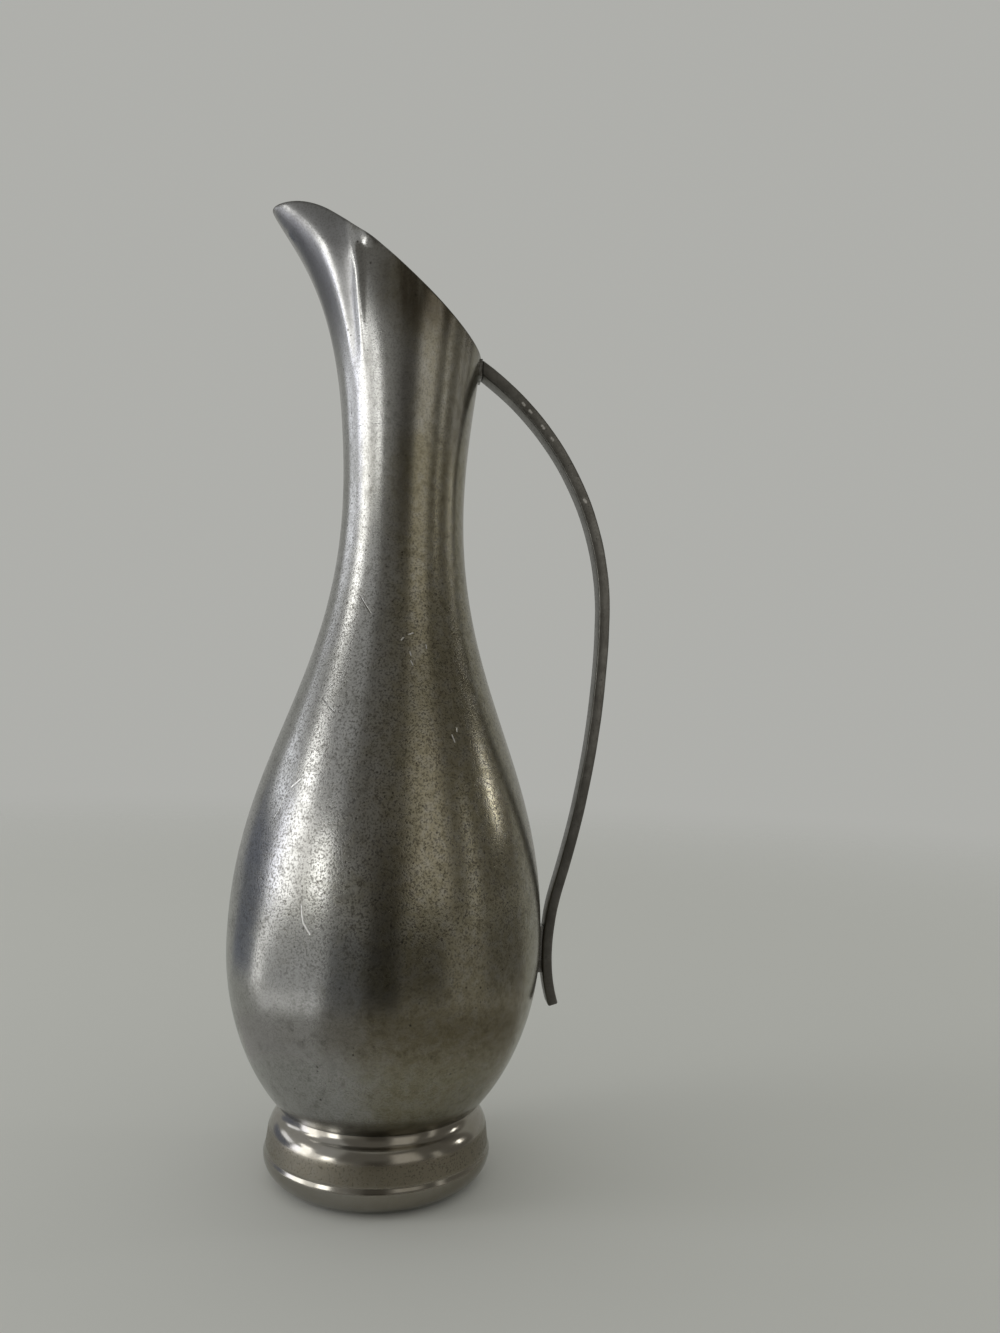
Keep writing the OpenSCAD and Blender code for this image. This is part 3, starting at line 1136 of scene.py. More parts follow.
@dataclass(frozen=True)
class PearBody:
    """The two spun halves of the body, lapped at the belly."""

    lines: BodyLines
    bowl_steps: int = 44
    shoulder_steps: int = 72
    flare_steps: int = 10

    def bowl_side(self, inset: float, low: float, high: float) -> Outline:
        """The bowl's side between two heights, from low to high."""
        shares = [math.sin(math.pi / 2 * share) for share in even_shares(self.bowl_steps)]
        return [(self.lines.bowl_radius(z, inset), z) for z in (low + (high - low) * s for s in shares)]

    def build_bowl(self, uneven: Unevenness, material: bpy.types.Material) -> None:
        """Make the lower half, with the floor.

        Args:
            uneven: the swells of the sheet.
            material: the piece's finish.
        """
        b = self.lines
        lean = math.radians(b.side_lean)
        edge = (b.bowl_edge_r - b.floor_round * math.cos(lean), b.bowl_floor + b.floor_round)
        outline = [(0.0, b.bowl_floor)]
        outline += arc(edge, b.floor_round, b.floor_round, -90, -b.side_lean)[:-1]
        outline += self.bowl_side(0.0, b.bowl_edge_z, b.belly_z)
        outline += [(b.lap_r, b.belly_z), (b.lap_r, b.ledge_z)]
        outline += self.bowl_side(b.wall, b.bowl_floor + b.wall, b.ledge_z)[::-1]
        outline += [(0.0, b.bowl_floor + b.wall)]
        add_turned("spun_bowl", "lower_bowl", outline, uneven, material, closed=False)

    def build_shoulder(self, uneven: Unevenness, material: bpy.types.Material) -> None:
        """Make the upper half, with the neck and the lip inside the mouthpiece.

        Args:
            uneven: the swells of the sheet.
            material: the piece's finish.
        """
        b = self.lines
        lap_r = b.lap_r - b.solder_t
        lap_z = b.ledge_z + b.solder_t
        top = b.lip_z
        step_z = b.seam_z - b.lap_h
        rise = b.seam_z - b.neck_z
        shares = even_shares(self.shoulder_steps)
        flare = [b.neck_z + rise * share for share in even_shares(self.flare_steps)[1:]]
        lip_r = b.trumpet_bore(b.seam_z) - 2 * b.solder_t
        lip_top_r = b.trumpet_bore(top) - 2 * b.solder_t
        outline = [(b.belly_r - b.wall, lap_z), (lap_r, lap_z), (lap_r, b.shoulder_z)]
        outline += [b.shoulder_point(t) for t in shares]
        outline += [(b.trumpet_radius(z), z) for z in flare]
        outline += [(lip_r, b.seam_z), (lip_top_r, top), (lip_top_r - b.lip_wall, top)]
        outline += [(lip_r - b.lip_wall, b.seam_z), (b.trumpet_bore(step_z), step_z)]
        outline += [b.shoulder_point(t, b.wall) for t in shares][::-1]
        add_turned("spun_shoulder", "shoulder_neck", outline, uneven, material)


@dataclass(frozen=True)
class Dent:
    """A knock in the sheet, or a bump where the depth is below zero."""

    centre: Vector
    reach: float
    depth: float

    def shift(self, point: Vector) -> Vector:
        """Return how far a point is pushed towards the vase axis."""
        outward = Vector((point.x, point.y, 0.0)).normalized()
        return -outward * self.depth * bell((point - self.centre).length / self.reach)


@dataclass(frozen=True)
class Crease:
    """A fold in the mouthpiece, by the direction from the spout in degrees at some heights."""

    places: tuple[tuple[float, float], ...]

    def phi(self, z: float) -> float:
        """Direction of the fold at a height.

        Args:
            z: height above the floor.

        Returns:
            Degrees from the spout.
        """
        for (z0, phi0), (z1, phi1) in zip(self.places, self.places[1:]):
            if z < z1:
                return phi0 + (phi1 - phi0) * clamp01((z - z0) / (z1 - z0))
        return self.places[-1][1]


@dataclass(frozen=True)
class Mouthpiece:
    """Trumpet mouth whose front is drawn out and pinched into a beak, with a rim cut on a slant."""

    lines: BodyLines
    beak_reach: float = 0.0162
    nose_swell: float = 1.2
    beak_angle: float = 34.0
    root_angle: float = 175.0
    pinch_depth: float = 0.0022
    pinch_angle: float = 74.0
    pinch_spread: float = 45.0
    climb_share: float = 0.82
    climb_ease: float = 0.2
    rim_round: float = 0.00045
    dents: tuple[Dent, ...] = (
        Dent(Vector((-0.0106, -0.0166, 0.2283)), 0.0047, -0.0015),
        Dent(Vector((-0.0312, -0.0028, 0.2322)), 0.0016, -0.0004),
    )
    front_crease: Crease = Crease(
        ((0.206, 36.0), (0.213, 34.0), (0.220, 31.5), (0.227, 27.5), (0.235, 16.5), (0.238, 10.0))
    )
    back_crease: Crease = Crease(((0.205, 51.5), (0.219, 51.0), (0.227, 47.5), (0.231, 44.0)))
    fold_low: float = 0.192
    fold_high: float = 0.216
    fold_depth: float = 0.0005
    ridge_h: float = 0.00035
    ridge_reach: float = 5.5
    # Strips along the creases that are left free of the painted shade, and the share of painted shade and
    # dullness behind the front crease.
    front_unshaded: float = 5.0
    back_unshaded: float = 6.5
    unshaded_end: float = 0.231
    unshaded_fade_h: float = 0.005
    unshaded_lost: float = 0.7
    flank_dull_and_shade: float = 0.65
    nose_angle: float = 13.0
    corner_soft: float = 0.12
    rim_dark_h: float = 0.0008
    turn_steps: int = 288
    rows: int = 56
    rim_passes: int = 8

    def climb(self, z: float) -> float:
        """Share of the way from the seam to the rim's front."""
        b = self.lines
        return clamp01((z - b.seam_z) / (b.front_z - b.seam_z))

    def drawn(self, phi: float, z: float) -> float:
        """Radius of the mouth before the pinch.

        Args:
            phi: direction in degrees from the spout.
            z: height above the floor.

        Returns:
            The radius.
        """
        s = self.climb(z)
        push = s**3 + self.nose_swell * s**10 * (1 - s)
        half = self.root_angle + (self.beak_angle - self.root_angle) * s
        return self.lines.trumpet_radius(z) + self.beak_reach * push * bell(phi / half)

    def radius(self, phi: float, z: float) -> float:
        """Radius of the mouth with the pinch on each flank of the beak."""
        flank = bell((abs(phi) - self.pinch_angle) / self.pinch_spread)
        return self.drawn(phi, z) - self.pinch_depth * self.climb(z) ** 2 * flank

    def levelled(self, t: float) -> float:
        """Hold a share between 0 and 1, with the corner at 1 rounded off."""
        over = clamp01((t - 1 + self.corner_soft) / (2 * self.corner_soft))
        return clamp01(min(t, 1 + self.corner_soft) - self.corner_soft * over * over)

    def rim_height(self, phi: float) -> float:
        """Height of the slanted rim in a direction, found by repeated looks at its own radius.

        Args:
            phi: direction in degrees from the spout.

        Returns:
            The height.
        """
        b = self.lines
        back = b.mouth_back
        front = b.trumpet_radius(b.front_z) + self.beak_reach
        z = b.front_z
        for _ in range(self.rim_passes):
            x = -self.drawn(phi, z) * math.cos(math.radians(phi))
            t = self.levelled((back - x) / (self.climb_share * (back + front)))
            z = b.back_z + (b.front_z - b.back_z) * ((1 - self.climb_ease) * t + self.climb_ease * ease(t))
        return z

    def folded(self, z: float) -> float:
        """How strongly the beak is folded at a height."""
        return ease(clamp01((z - self.fold_low) / (self.fold_high - self.fold_low)))

    def fold(self, phi: float, z: float) -> float:
        """How far the flank between the two creases is pressed in.

        Args:
            phi: direction in degrees from the spout.
            z: height above the floor.

        Returns:
            The depth, which is below zero on the ridge along the back crease.
        """
        front, back = self.front_crease.phi(z), self.back_crease.phi(z)
        middle, half = (front + back) / 2, (back - front) / 2
        pressed = self.fold_depth * bell((abs(phi) - middle) / half)
        return self.folded(z) * (pressed - self.ridge_h * bell((abs(phi) - back) / self.ridge_reach))

    def dullness_and_shade(self, point: Vector) -> float:
        """How dull a point is and how much painted shade it gets: the beak's flanks get both, and its
        creases are left clear so that they show bright reflections.

        Args:
            point: a point of the mouthpiece.

        Returns:
            A number from 0 to 1.
        """
        phi = abs(math.degrees(math.atan2(point.y, -point.x)))
        front, back = self.front_crease.phi(point.z), self.back_crease.phi(point.z)
        faint = self.unshaded_lost * ease(clamp01((point.z - self.unshaded_end) / self.unshaded_fade_h + 1))
        # Where the painted shade is left off: along both creases, behind the back crease and at the nose.
        rubbed = max(
            (1 - faint) * bell((phi - front) / self.front_unshaded),
            bell((phi - back) / self.back_unshaded),
            ease(clamp01((phi - back) / self.front_unshaded)),
            ease(clamp01(1 - phi / self.nose_angle)),
        )
        share = 1.0 if phi < front else self.flank_dull_and_shade
        return self.folded(point.z) * share * (1 - rubbed)

    def rim_darkening(self, point: Vector) -> float:
        """How much darker a point is made for lying at the rim."""
        phi = math.degrees(math.atan2(point.y, -point.x))
        return ease(clamp01((point.z - self.rim_height(phi)) / self.rim_dark_h + 1))

    def build(self, uneven: Unevenness, material: bpy.types.Material) -> None:
        """Make the mouthpiece: spin a straight tube, draw it to shape, give it a wall and round its rim.

        Args:
            uneven: the swells of the sheet.
            material: the piece's finish.
        """
        b = self.lines
        low = b.seam_z + b.solder_t
        tube = [(1.0, share) for share in even_shares(self.rows)]
        bm = turned(tube, closed=False, steps=self.turn_steps)
        for vert in bm.verts:
            phi = math.degrees(math.atan2(vert.co.y, -vert.co.x))
            z = low + (self.rim_height(phi) - low) * vert.co.z
            radius = self.radius(phi, z) - self.fold(phi, z)
            a = math.radians(phi)
            vert.co = Vector((-radius * math.cos(a), radius * math.sin(a), z))
            for dent in self.dents:
                vert.co += dent.shift(vert.co)
        bmesh.ops.recalc_face_normals(bm, faces=bm.faces)
        # An open tube has no inside of its own, so its lowest face tells which way the normals went.
        lowest = min(bm.faces, key=lambda face: face.calc_center_median().z)
        if lowest.normal.xy.dot(lowest.calc_center_median().xy) < 0:
            bmesh.ops.reverse_faces(bm, faces=bm.faces)
        bmesh.ops.solidify(bm, geom=bm.faces[:], thickness=b.wall)
        rim = [edge for edge in sharp_edges(bm) if edge.verts[0].co.z > (b.seam_z + b.back_z) / 2]
        round_over(bm, rim, self.rim_round)
        uneven.apply(bm)
        # The first layer raises roughness and carries painted shade on the beak's flanks.
        layers = {DULL_AND_SHADE: self.dullness_and_shade, RIM: self.rim_darkening}
        add_piece("pinched_mouthpiece", "spout", bm, material, layers)


@dataclass(frozen=True)
class Station:
    """A place on the strap's middle line; the slope is its turn down from level."""

    x: float
    z: float
    slope: float
    thick: float

    def face(self, side: float) -> tuple[float, float]:
        """The point on the outer face (side 1) or the inner one (side -1)."""
        half = side * self.thick / 2
        return self.x + half * math.sin(self.slope), self.z + half * math.cos(self.slope)


@dataclass(frozen=True)
class StrapHandle:
    """Flat strap that bows out from the rim, sways back to the belly and ends in a free tail."""

    lines: BodyLines
    width: float = 0.006
    rim_t: float = 0.0032
    tail_t: float = 0.0025
    reach: float = 0.0525
    leave_angle: float = 33.5
    rim_drop: float = 0.0003
    contact_drop: float = 0.0033
    pad_t: float = 0.00065
    inward_share: float = 0.8
    tail_len: float = 0.013
    tail_r: float = 0.043
    edge_round: float = 0.0005
    waver: float = 0.00006
    waver_size: float = 0.007
    rub_start: float = 0.0009
    rub_run: float = 0.0006
    steps: int = 30

    @property
    def end_x(self) -> float:
        """Distance of the cut end from the vase axis."""
        return self.lines.mouth_back + self.lines.solder_t

    @property
    def contact_z(self) -> float:
        """Height at which the strap comes nearest to the belly."""
        return self.lines.belly_z - self.contact_drop

    def stations(self) -> list[Station]:
        """Places along the strap from the rim to the tail's end, on four arcs that run into each other.

        Returns:
            The stations in order.
        """
        b = self.lines
        leave = math.radians(self.leave_angle)
        quarter = math.pi / 2
        end_z = b.back_z - self.rim_drop - self.rim_t / 2 / math.cos(leave)
        crown_r = (self.reach - self.end_x) / (1 - math.sin(leave))
        crown_z = end_z - crown_r * math.cos(leave)
        contact_x = b.bowl_radius(self.contact_z) + self.pad_t + self.tail_t / 2
        sway = 2 * math.atan((self.reach - contact_x) / (crown_z - self.contact_z))
        sweep_sum = (crown_z - self.contact_z) / math.sin(sway)
        inward_r = self.inward_share * sweep_sum
        return_r = sweep_sum - inward_r
        turns = (quarter - leave, sway, sway, self.tail_len / self.tail_r)
        runs = (crown_r * turns[0], inward_r * sway, return_r * sway)
        held = sum(runs)
        made: list[Station] = []
        for part, turn in enumerate(turns):
            for share in even_shares(self.steps)[1 if part else 0:]:
                a = turn * share
                if part == 0:
                    x = self.reach - crown_r * (1 - math.sin(leave + a))
                    place = (x, crown_z + crown_r * math.cos(leave + a), leave + a)
                elif part == 1:
                    x = self.reach - inward_r * (1 - math.cos(a))
                    place = (x, crown_z - inward_r * math.sin(a), quarter + a)
                elif part == 2:
                    back = turn - a
                    x = contact_x + return_r * (1 - math.cos(back))
                    place = (x, self.contact_z + return_r * math.sin(back), quarter + back)
                else:
                    x = contact_x + self.tail_r * (1 - math.cos(a))
                    place = (x, self.contact_z - self.tail_r * math.sin(a), quarter - a)
                run = clamp01((sum(runs[:part]) + (runs[part] * share if part < 3 else 0.0)) / held)
                made.append(Station(*place, self.rim_t + (self.tail_t - self.rim_t) * run))
        return made

    def corner(self, station: Station, side: float, first: bool) -> tuple[float, float]:
        """A face point of a station; the first one is carried along the strap to the upright cut.

        Args:
            station: the place on the strap.
            side: 1 for the outer face and -1 for the inner one.
            first: whether it is the station at the cut end.

        Returns:
            The point's x and z.
        """
        x, z = station.face(side)
        if first:
            return self.end_x, z + (x - self.end_x) * math.tan(math.radians(self.leave_angle))
        return x, z

    def inner_x(self, z: float) -> float:
        """How far from the axis the inner face stands at a height near the tail.

        Args:
            z: height above the floor.

        Returns:
            The distance.
        """
        faces = [station.face(-1) for station in self.stations() if station.slope > math.pi / 4]
        for (x0, z0), (x1, z1) in zip(faces, faces[1:]):
            if z1 <= z <= z0:
                return x0 + (x1 - x0) * (z0 - z) / (z0 - z1)
        return faces[-1][0]

    def rub(self, point: Vector) -> float:
        """How much a point is rubbed: fully at the long corners."""
        return ease(clamp01((abs(point.y) - self.width / 2 + self.rub_start) / self.rub_run))

    def build(self, finish: DarkStrap) -> None:
        """Make the strap: draw one cross-section out from station to station and round its corners.

        Args:
            finish: the piece's finish.
        """
        places = self.stations()
        bm = bmesh.new()
        bmesh.ops.create_grid(bm, x_segments=1, y_segments=1, size=0.5)
        sides = {vert: (math.copysign(1, vert.co.x), math.copysign(1, vert.co.y)) for vert in bm.verts}
        end = bm.faces[:][0]
        for i, station in enumerate(places):
            if i:
                old = {tuple(vert.co): sides[vert] for vert in end.verts}
                grown = bmesh.ops.extrude_face_region(bm, geom=[end])["geom"]
                end = next(item for item in grown if isinstance(item, bmesh.types.BMFace))
                sides = {vert: old[tuple(vert.co)] for vert in end.verts}
            for vert, (side, way) in sides.items():
                x, z = self.corner(station, side, i == 0)
                vert.co = Vector((x, way * self.width / 2, z))
        bmesh.ops.recalc_face_normals(bm, faces=bm.faces)
        round_over(bm, sharp_edges(bm), self.edge_round)
        for vert in bm.verts:
            vert.co += self.waver * noise.noise_vector(vert.co / self.waver_size)
        material = finish.material(-self.width / 2)
        add_piece("strap", "handle", bm, material, {WEAR: self.rub})


@dataclass(frozen=True)
class SolderJoints:
    """The solder between the pieces: three seams round the body and two joints on the strap."""

    lines: BodyLines
    foot: Foot
    strap: StrapHandle
    fillet: float = 0.0007
    wipe_angle: float = 50.0
    wipe_lean: float = 14.0
    wipe_out: float = 0.001
    wipe_steps: int = 12
    pad_up: float = 0.0065
    pad_down: float = 0.005
    cuts: int = 9

    def wiped(self) -> Outline:
        """The hollow line to which the solder is wiped, from the foot's brow to the bowl's floor.

        Returns:
            The outline's points in order.
        """
        turn, lean = math.radians(self.wipe_angle), math.radians(self.wipe_lean)
        rise = Vector((-math.sin(turn), math.cos(turn)))
        fall = Vector((math.sin(lean), -math.cos(lean)))
        low = Vector(self.foot.brow) + self.foot.brow_r * Vector((math.cos(turn), math.sin(turn)))
        high = Vector((self.foot.collar_r + self.wipe_out, self.lines.bowl_floor))
        corner = low + rise * ((high - low).cross(fall) / rise.cross(fall))
        shares = even_shares(self.wipe_steps)
        return [tuple(low.lerp(corner, t).lerp(corner.lerp(high, t), t)) for t in shares]

    def build_foot_seam(self, uneven: Unevenness, material: bpy.types.Material) -> None:
        """Make the ring between foot and bowl, wiped to a hollow where it shows.

        Args:
            uneven: the swells of the sheet.
            material: the piece's finish.
        """
        b, foot = self.lines, self.foot
        lip = foot.collar_r - foot.seat_w
        collar = (foot.collar_r - foot.edge_r, b.foot_h - foot.edge_r)
        outline = [(lip, b.foot_h)]
        outline += arc(collar, foot.edge_r, foot.edge_r, 90, 0)
        outline += arc(foot.cove, foot.cove_r, foot.cove_r, 180, 180 + foot.cove_angle)[1:]
        outline += arc(foot.brow, foot.brow_r, foot.brow_r, foot.cove_angle, self.wipe_angle)[1:-1]
        outline += self.wiped() + [(lip, b.bowl_floor)]
        add_turned("foot_seam", "foot_solder", outline, uneven, material)

    def build_belly_seam(self, uneven: Unevenness, material: bpy.types.Material) -> None:
        """Make the film in the lap at the belly, polished flush with the sheet.

        Args:
            uneven: the swells of the sheet.
            material: the piece's finish.
        """
        b = self.lines
        bore = b.belly_r - b.wall
        film_r = b.lap_r - b.solder_t
        film_z = b.ledge_z + b.solder_t
        outline = [(bore, b.ledge_z), (b.lap_r, b.ledge_z), (b.lap_r, b.belly_z), (b.belly_r, b.belly_z)]
        outline += [(b.belly_r, b.shoulder_z), (film_r, b.shoulder_z), (film_r, film_z), (bore, film_z)]
        add_turned("belly_seam", "belly_solder", outline, uneven, material)

    def build_neck_seam(self, uneven: Unevenness, material: bpy.types.Material) -> None:
        """Make the film under the mouthpiece, polished flush with the sheet.

        Args:
            uneven: the swells of the sheet.
            material: the piece's finish.
        """
        b = self.lines
        seat_z = b.seam_z + b.solder_t
        top = b.lip_z
        rim = b.trumpet_radius(b.seam_z)
        outline = [(b.trumpet_bore(b.seam_z) - b.solder_t, b.seam_z), (rim, b.seam_z), (rim, seat_z)]
        outline += [(b.trumpet_bore(seat_z), seat_z), (b.trumpet_bore(top), top)]
        outline += [(b.trumpet_bore(top) - b.solder_t, top)]
        add_turned("neck_seam", "neck_solder", outline, uneven, material)

    def pad(self, low: float, high: float, width: float, inner: Profile, outer: Profile) -> BMesh:
        """A pad of solder between the round body and the strap.

        Args:
            low: height of its lower end.
            high: height of its upper end.
            width: its width across the strap.
            inner: the body's radius at a height.
            outer: the strap's distance from the axis at a height.

        Returns:
            The pad's mesh, cut up finely and with its corners softened.
        """
        bm = bmesh.new()
        bmesh.ops.create_cube(bm, size=1.0)
        bmesh.ops.subdivide_edges(bm, edges=bm.edges[:], cuts=self.cuts, use_grid_fill=True)
        for vert in bm.verts:
            depth, across, rise = vert.co + Vector((0.5, 0.5, 0.5))
            y = (across - 0.5) * width
            z = low + (high - low) * rise
            near = math.sqrt(inner(z) ** 2 - y * y)
            vert.co = Vector((near + (outer(z) - near) * depth, y, z))
        bmesh.ops.smooth_vert(
            bm, verts=bm.verts, factor=0.5, use_axis_x=False, use_axis_y=True, use_axis_z=True
        )
        bmesh.ops.recalc_face_normals(bm, faces=bm.faces)
        return bm

    def build_strap_joints(self, material: bpy.types.Material) -> None:
        """Make the joint behind the strap's cut end and the pad behind its tail.

        Args:
            material: the piece's finish.
        """
        b = self.lines
        first = self.strap.stations()[0]
        high = self.strap.corner(first, 1, True)[1]
        low = self.strap.corner(first, -1, True)[1] - self.fillet
        width = self.strap.width + 2 * self.fillet
        top = self.pad(low, high, width, b.trumpet_radius, lambda z: self.strap.end_x)
        add_piece("strap_top_joint", "handle_top_solder", top, material)
        ends = (self.strap.contact_z - self.pad_down, self.strap.contact_z + self.pad_up)
        tail = self.pad(*ends, self.strap.width - 2 * self.fillet, b.radius_at, self.strap.inner_x)
        add_piece("strap_tail_joint", "handle_tail_solder", tail, material)


@dataclass(frozen=True)
class Softbox:
    """A soft area light, placed by its direction from the vase."""

    name: str
    turn: float
    rise: float
    wide: float
    tall: float
    radiance: float
    colour: Colour = (1.0, 1.0, 1.0)
    distance: float = 1.1
    aim_z: float = 0.1

    def add(self) -> None:
        """Make the light; wide and tall are the angles that it covers."""
        data = bpy.data.lights.new(self.name, "AREA")
        data.shape = "RECTANGLE"
        data.size = 2 * self.distance * math.tan(math.radians(self.wide / 2))
        data.size_y = 2 * self.distance * math.tan(math.radians(self.tall / 2))
        # Blender gives an area light a radiance of its energy over four times its area.
        data.energy = 4 * self.radiance * data.size * data.size_y
        data.color = self.colour
        lamp = bpy.data.objects.new(self.name, data)
        rise = math.radians(self.rise)
        height = self.aim_z + self.distance * math.sin(rise)
        lamp.location = around(self.turn, self.distance * math.cos(rise), height)
        aim = Vector((0, 0, self.aim_z)) - lamp.location
        lamp.rotation_euler = aim.to_track_quat("-Z", "Y").to_euler()
        bpy.context.scene.collection.objects.link(lamp)
        LOG.info("light %s", self.name)


@dataclass(frozen=True)
class Screen:
    """A soft-edged card that only reflections see.

    A line from start to end, each a radius and a height, is swept round part of the vase.
    """

    name: str
    turns: Range
    start: Range
    end: Range
    shade: Colour
    soft_turn: float = 5.0
    soft_start: float = 0.1
    soft_end: float = 0.1
    rows: int = 24
    steps: int = 36

    @classmethod
    def upright(
        cls, name: str, turns: Range, radius: float, heights: Range, shade: Colour, *soft: float
    ) -> "Screen":
        """A card that stands at one distance from the axis.

        Args:
            name: the card's name.
            turns: where it begins and ends, in degrees from the front.
            radius: its distance.
            heights: its lower and upper edge.
            shade: its brightness.
            soft: width of its soft edges, in the order of the fields.

        Returns:
            The card.
        """
        return cls(name, turns, (radius, heights[0]), (radius, heights[1]), shade, *soft)

    @classmethod
    def flat(
        cls, name: str, turns: Range, radii: Range, height: float, shade: Colour, *soft: float
    ) -> "Screen":
        """A card that lies level, just over the floor.

        Args:
            name: the card's name.
            turns: where it begins and ends, in degrees from the front.
            radii: distance of its near and far edge.
            height: its height.
            shade: its brightness.
            soft: width of its soft edges, in the order of the fields.

        Returns:
            The card.
        """
        return cls(name, turns, (radii[0], height), (radii[1], height), shade, *soft)

    def cover(self, point: Vector) -> float:
        """How much the card hides what lies behind it: all of it inside its soft edges.

        Args:
            point: a point of the card.

        Returns:
            A number from 0 to 1.
        """
        turn = math.degrees(math.atan2(point.x, -point.y))
        run = Vector(self.end) - Vector(self.start)
        share = (Vector((point.xy.length, point.z)) - Vector(self.start)).dot(run) / run.length_squared
        sides = ease(clamp01((turn - self.turns[0]) / self.soft_turn))
        sides *= ease(clamp01((self.turns[1] - turn) / self.soft_turn))
        return sides * ease(clamp01(share / self.soft_start)) * ease(clamp01((1 - share) / self.soft_end))

    def add(self) -> None:
        """Make the card; its turns are in degrees from the front, positive towards the handle."""
        bm = bmesh.new()
        start, end = Vector(self.start), Vector(self.end)
        places = [start.lerp(end, share) for share in even_shares(self.rows)]
        verts = [bm.verts.new(around(self.turns[0], *place)) for place in places]
        edges = [bm.edges.new(pair) for pair in zip(verts, verts[1:])]
        angle = math.radians(self.turns[1] - self.turns[0])
        bmesh.ops.spin(
            bm,
            geom=verts + edges,
            cent=(0, 0, 0),
            axis=(0, 0, 1),
            angle=angle,
            steps=self.steps,
            use_merge=False,
        )
        mesh = bpy.data.meshes.new(self.name)
        bm.to_mesh(mesh)
        bm.free()
        store(mesh, COVER, self.cover)
        g = Graph(self.name)
        g.fill(g.shader.inputs["Base Color"], (0.0, 0.0, 0.0))
        g.shader.inputs["Specular IOR Level"].default_value = 0.0
        g.fill(g.shader.inputs["Emission Color"], self.shade)
        g.shader.inputs["Emission Strength"].default_value = 1.0
        g.fill(g.shader.inputs["Alpha"], g.stored(COVER))
        mesh.materials.append(g.material)
        card = bpy.data.objects.new(self.name, mesh)
        card.visible_camera = False
        card.visible_diffuse = False
        card.visible_shadow = False
        bpy.context.scene.collection.objects.link(card)
        LOG.info("card %s", self.name)


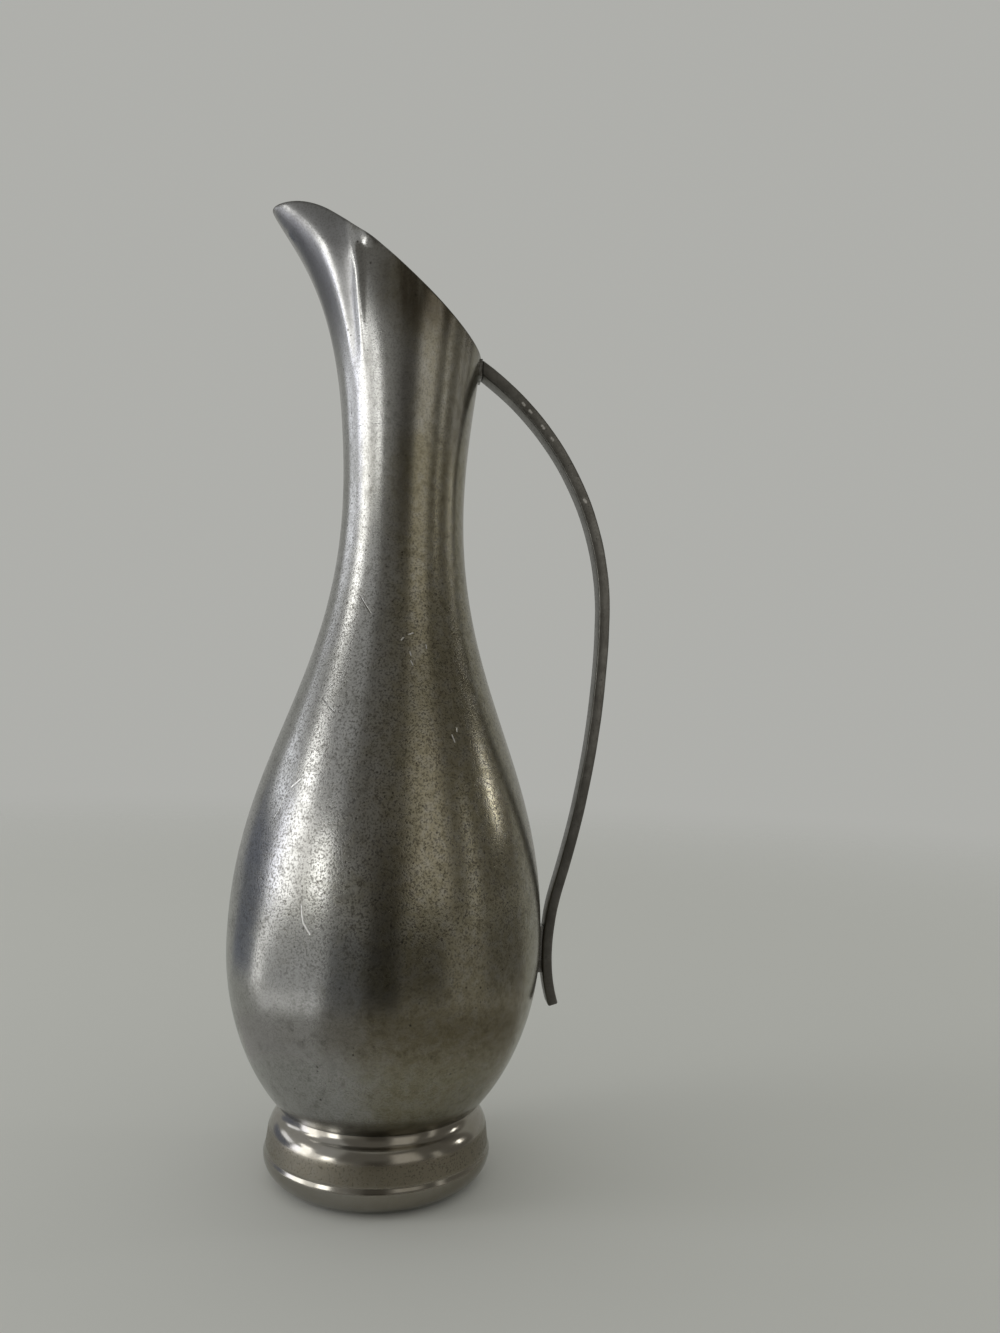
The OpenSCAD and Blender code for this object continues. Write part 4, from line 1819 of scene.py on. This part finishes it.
@dataclass(frozen=True)
class Studio:
    """Pale floor, pale surroundings, soft lights and the camera."""

    backdrop: Colour = (0.428, 0.43, 0.408)
    floor_colour: Colour = (0.79, 0.795, 0.765)
    floor_r: float = 1.2
    fade_start: float = 0.3
    fade_end: float = 1.1
    floor_rough: float = 0.8
    floor_gloss: float = 0.1
    floor_sides: int = 96
    camera_back: float = 0.255
    camera_height: float = 0.1139
    yaw: float = 5.88
    pitch: float = 2.65
    roll: float = 2.07
    focal_px: float = 1000.0
    frame_px: float = 1333.0
    sensor: float = 36.0
    clip_start: float = 0.01
    lights: tuple[Softbox, ...] = (
        Softbox("window_left", -89.5, 6.5, 9, 19, 2.3, (0.94, 0.96, 1.1)),
        Softbox("window_middle", -78, 10.5, 14, 27, 2.25, (1.0, 1.0, 0.99)),
        Softbox("window_top", -83, 25, 14, 6, 2.6, (1.0, 1.0, 0.98)),
        Softbox("window_gap", -65.5, 8, 11, 22, 0.9, (1.0, 0.98, 0.94)),
        Softbox("far_window", -111, 14.5, 22, 9, 1.2, (0.95, 0.98, 1.08), distance=2.2, aim_z=0.16),
        Softbox("side_window", 97, 17, 5, 10, 4.5),
    )
    screens: tuple[Screen, ...] = (
        # Standing cards; where two overlap, the nearer one shows.
        Screen.upright("left_glow", (-134, -38), 1.2, (0.48, 1.6), (0.5, 0.5, 0.49), 8),
        Screen.upright("dim_surround", (-46, 118), 1.3, (0.0, 2.2), (0.19, 0.183, 0.166), 6, 0.01),
        Screen.upright("grey_left", (-50, -16), 1.25, (0.0, 0.5), (0.36, 0.355, 0.33), 14, 0.01, 0.4),
        Screen.upright("camera_haze", (-14, 12), 0.92, (0.0, 0.6), (0.1, 0.094, 0.082), 4, 0.01, 0.5),
        Screen.upright("camera_shade", (-13, 11), 0.9, (0.0, 0.2), (0.05, 0.047, 0.041), 4, 0.01, 0.6),
        Screen.upright("window_right", (-58.5, -42), 0.6, (0.08, 0.275), (4.4, 4.4, 4.3), 4, 0.1, 0.15),
        Screen.upright("warm_panel", (12, 48), 0.3, (0.075, 0.38), (0.68, 0.66, 0.62), 8, 0.06, 0.3),
        Screen.upright("dark_panel", (43, 60), 0.95, (0.1, 0.45), (0.16, 0.155, 0.14), 5, 0.25, 0.25),
        Screen.upright("light_strip", (58.5, 69.5), 0.95, (0.0, 0.6), (0.8, 0.79, 0.76), 4, 0.1, 0.3),
        Screen.upright("far_shade", (84, 114), 0.25, (0.2, 0.34), (0.14, 0.135, 0.125), 5, 0.15, 0.3),
        Screen.upright("dim_left", (-138, -94), 1.2, (0.0, 0.32), (0.2, 0.215, 0.26), 6, 0.01, 0.3),
        # Level cards over the floor; where two overlap, the higher one shows.
        Screen.flat("floor_left", (-132, -94), (0.17, 1.2), 0.0006, (0.2, 0.215, 0.25), 6, 0.06, 0.02),
        Screen.flat("floor_grey", (-92, -36), (0.145, 1.15), 0.0008, (0.56, 0.565, 0.56), 5, 0.02, 0.02),
        Screen.flat("floor_glow", (-97, -76), (0.34, 1.15), 0.001, (1.9, 1.9, 1.9), 6, 0.15, 0.02),
        Screen.flat("floor_edge", (-99, -85), (0.135, 0.45), 0.0014, (2.0, 2.0, 1.97), 5, 0.12, 0.3),
        Screen.flat("near_glow", (-92, -36), (0.113, 0.158), 0.0014, (1.05, 1.05, 1.04), 6, 0.35, 0.35),
        Screen.flat("near_left", (-130, -36), (0.062, 0.118), 0.001, (0.36, 0.355, 0.335), 8, 0.15, 0.3),
        Screen.flat("near_gloom", (-44, 118), (0.045, 0.13), 0.0012, (0.2, 0.19, 0.16), 10, 0.6, 0.3),
        Screen.flat("gloom", (-40, 116), (0.045, 1.25), 0.0006, (0.34, 0.33, 0.305), 4, 0.03, 0.02),
        Screen.flat("gloom_left", (-42, -8), (0.075, 1.2), 0.0008, (0.15, 0.152, 0.15), 6, 0.05, 0.02),
        Screen.flat("gloom_middle", (-15, 13), (0.085, 0.95), 0.001, (0.05, 0.048, 0.043), 5, 0.06, 0.02),
        Screen.flat("gloom_right", (8, 44), (0.11, 1.2), 0.0008, (0.13, 0.126, 0.115), 6, 0.06, 0.02),
        Screen.flat("gloom_far", (66, 114), (0.12, 1.2), 0.0008, (0.19, 0.186, 0.175), 6, 0.06, 0.02),
    )

    def add_world(self) -> None:
        """Even, pale surroundings."""
        world = bpy.data.worlds.new("pale_surroundings")
        bpy.context.scene.world = world
        world.use_nodes = True
        world.node_tree.nodes["Background"].inputs["Color"].default_value = (*self.backdrop, 1.0)
        bpy.context.scene.view_settings.view_transform = "Standard"

    def add_floor(self) -> None:
        """A pale disc that fades into the surroundings."""
        bm = bmesh.new()
        bmesh.ops.create_circle(bm, cap_ends=True, segments=self.floor_sides, radius=self.floor_r)
        mesh = bpy.data.meshes.new("floor")
        bm.to_mesh(mesh)
        bm.free()
        g = Graph("pale_floor")
        g.fill(g.shader.inputs["Base Color"], self.floor_colour)
        g.shader.inputs["Roughness"].default_value = self.floor_rough
        g.shader.inputs["Specular IOR Level"].default_value = self.floor_gloss
        gap = g.vector("LENGTH", g.place).outputs["Value"]
        g.fill(g.shader.inputs["Alpha"], g.spread(gap, self.fade_start, self.fade_end, 1.0, 0.0))
        mesh.materials.append(g.material)
        floor = bpy.data.objects.new("floor", mesh)
        bpy.context.scene.collection.objects.link(floor)

    def add_camera(self) -> None:
        """The camera, at the photograph's place and angle."""
        yaw, pitch, roll = (math.radians(a) for a in (self.yaw, self.pitch, self.roll))
        ahead = Vector((math.sin(yaw), math.cos(yaw), 0.0))
        across = Vector((math.cos(yaw), -math.sin(yaw), 0.0))
        upright = Vector((0.0, 0.0, 1.0))
        look = ahead * math.cos(pitch) + upright * math.sin(pitch)
        level_up = upright * math.cos(pitch) - ahead * math.sin(pitch)
        right = across * math.cos(roll) + level_up * math.sin(roll)
        up = level_up * math.cos(roll) - across * math.sin(roll)
        data = bpy.data.cameras.new("camera")
        data.sensor_width = self.sensor
        data.lens = self.sensor * self.focal_px / self.frame_px
        data.clip_start = self.clip_start
        camera = bpy.data.objects.new("camera", data)
        axes = Matrix((right, up, -look)).transposed().to_4x4()
        camera.matrix_world = Matrix.Translation((0.0, -self.camera_back, self.camera_height)) @ axes
        bpy.context.scene.collection.objects.link(camera)
        bpy.context.scene.camera = camera

    def build(self) -> None:
        """Set up the floor, the light and the camera."""
        self.add_world()
        self.add_floor()
        for light in self.lights:
            light.add()
        for screen in self.screens:
            screen.add()
        self.add_camera()


def main() -> None:
    """Build the vase and its studio."""
    logging.basicConfig(level=logging.INFO, format="%(message)s")
    lines = BodyLines.from_frame()
    uneven = Unevenness()
    pewter = AgedPewter(lines).material()
    Studio().build()
    foot = Foot(lines)
    foot.build(uneven, PolishedPewter())
    body = PearBody(lines)
    body.build_bowl(uneven, pewter)
    body.build_shoulder(uneven, pewter)
    Mouthpiece(lines).build(uneven, pewter)
    strap = StrapHandle(lines)
    strap.build(DarkStrap())
    joints = SolderJoints(lines, foot, strap)
    solder = SoftSolder().material()
    joints.build_foot_seam(uneven, PolishedPewter("wiped_solder").material())
    joints.build_belly_seam(uneven, pewter)
    joints.build_neck_seam(uneven, pewter)
    joints.build_strap_joints(solder)


if __name__ == "__main__":
    main()
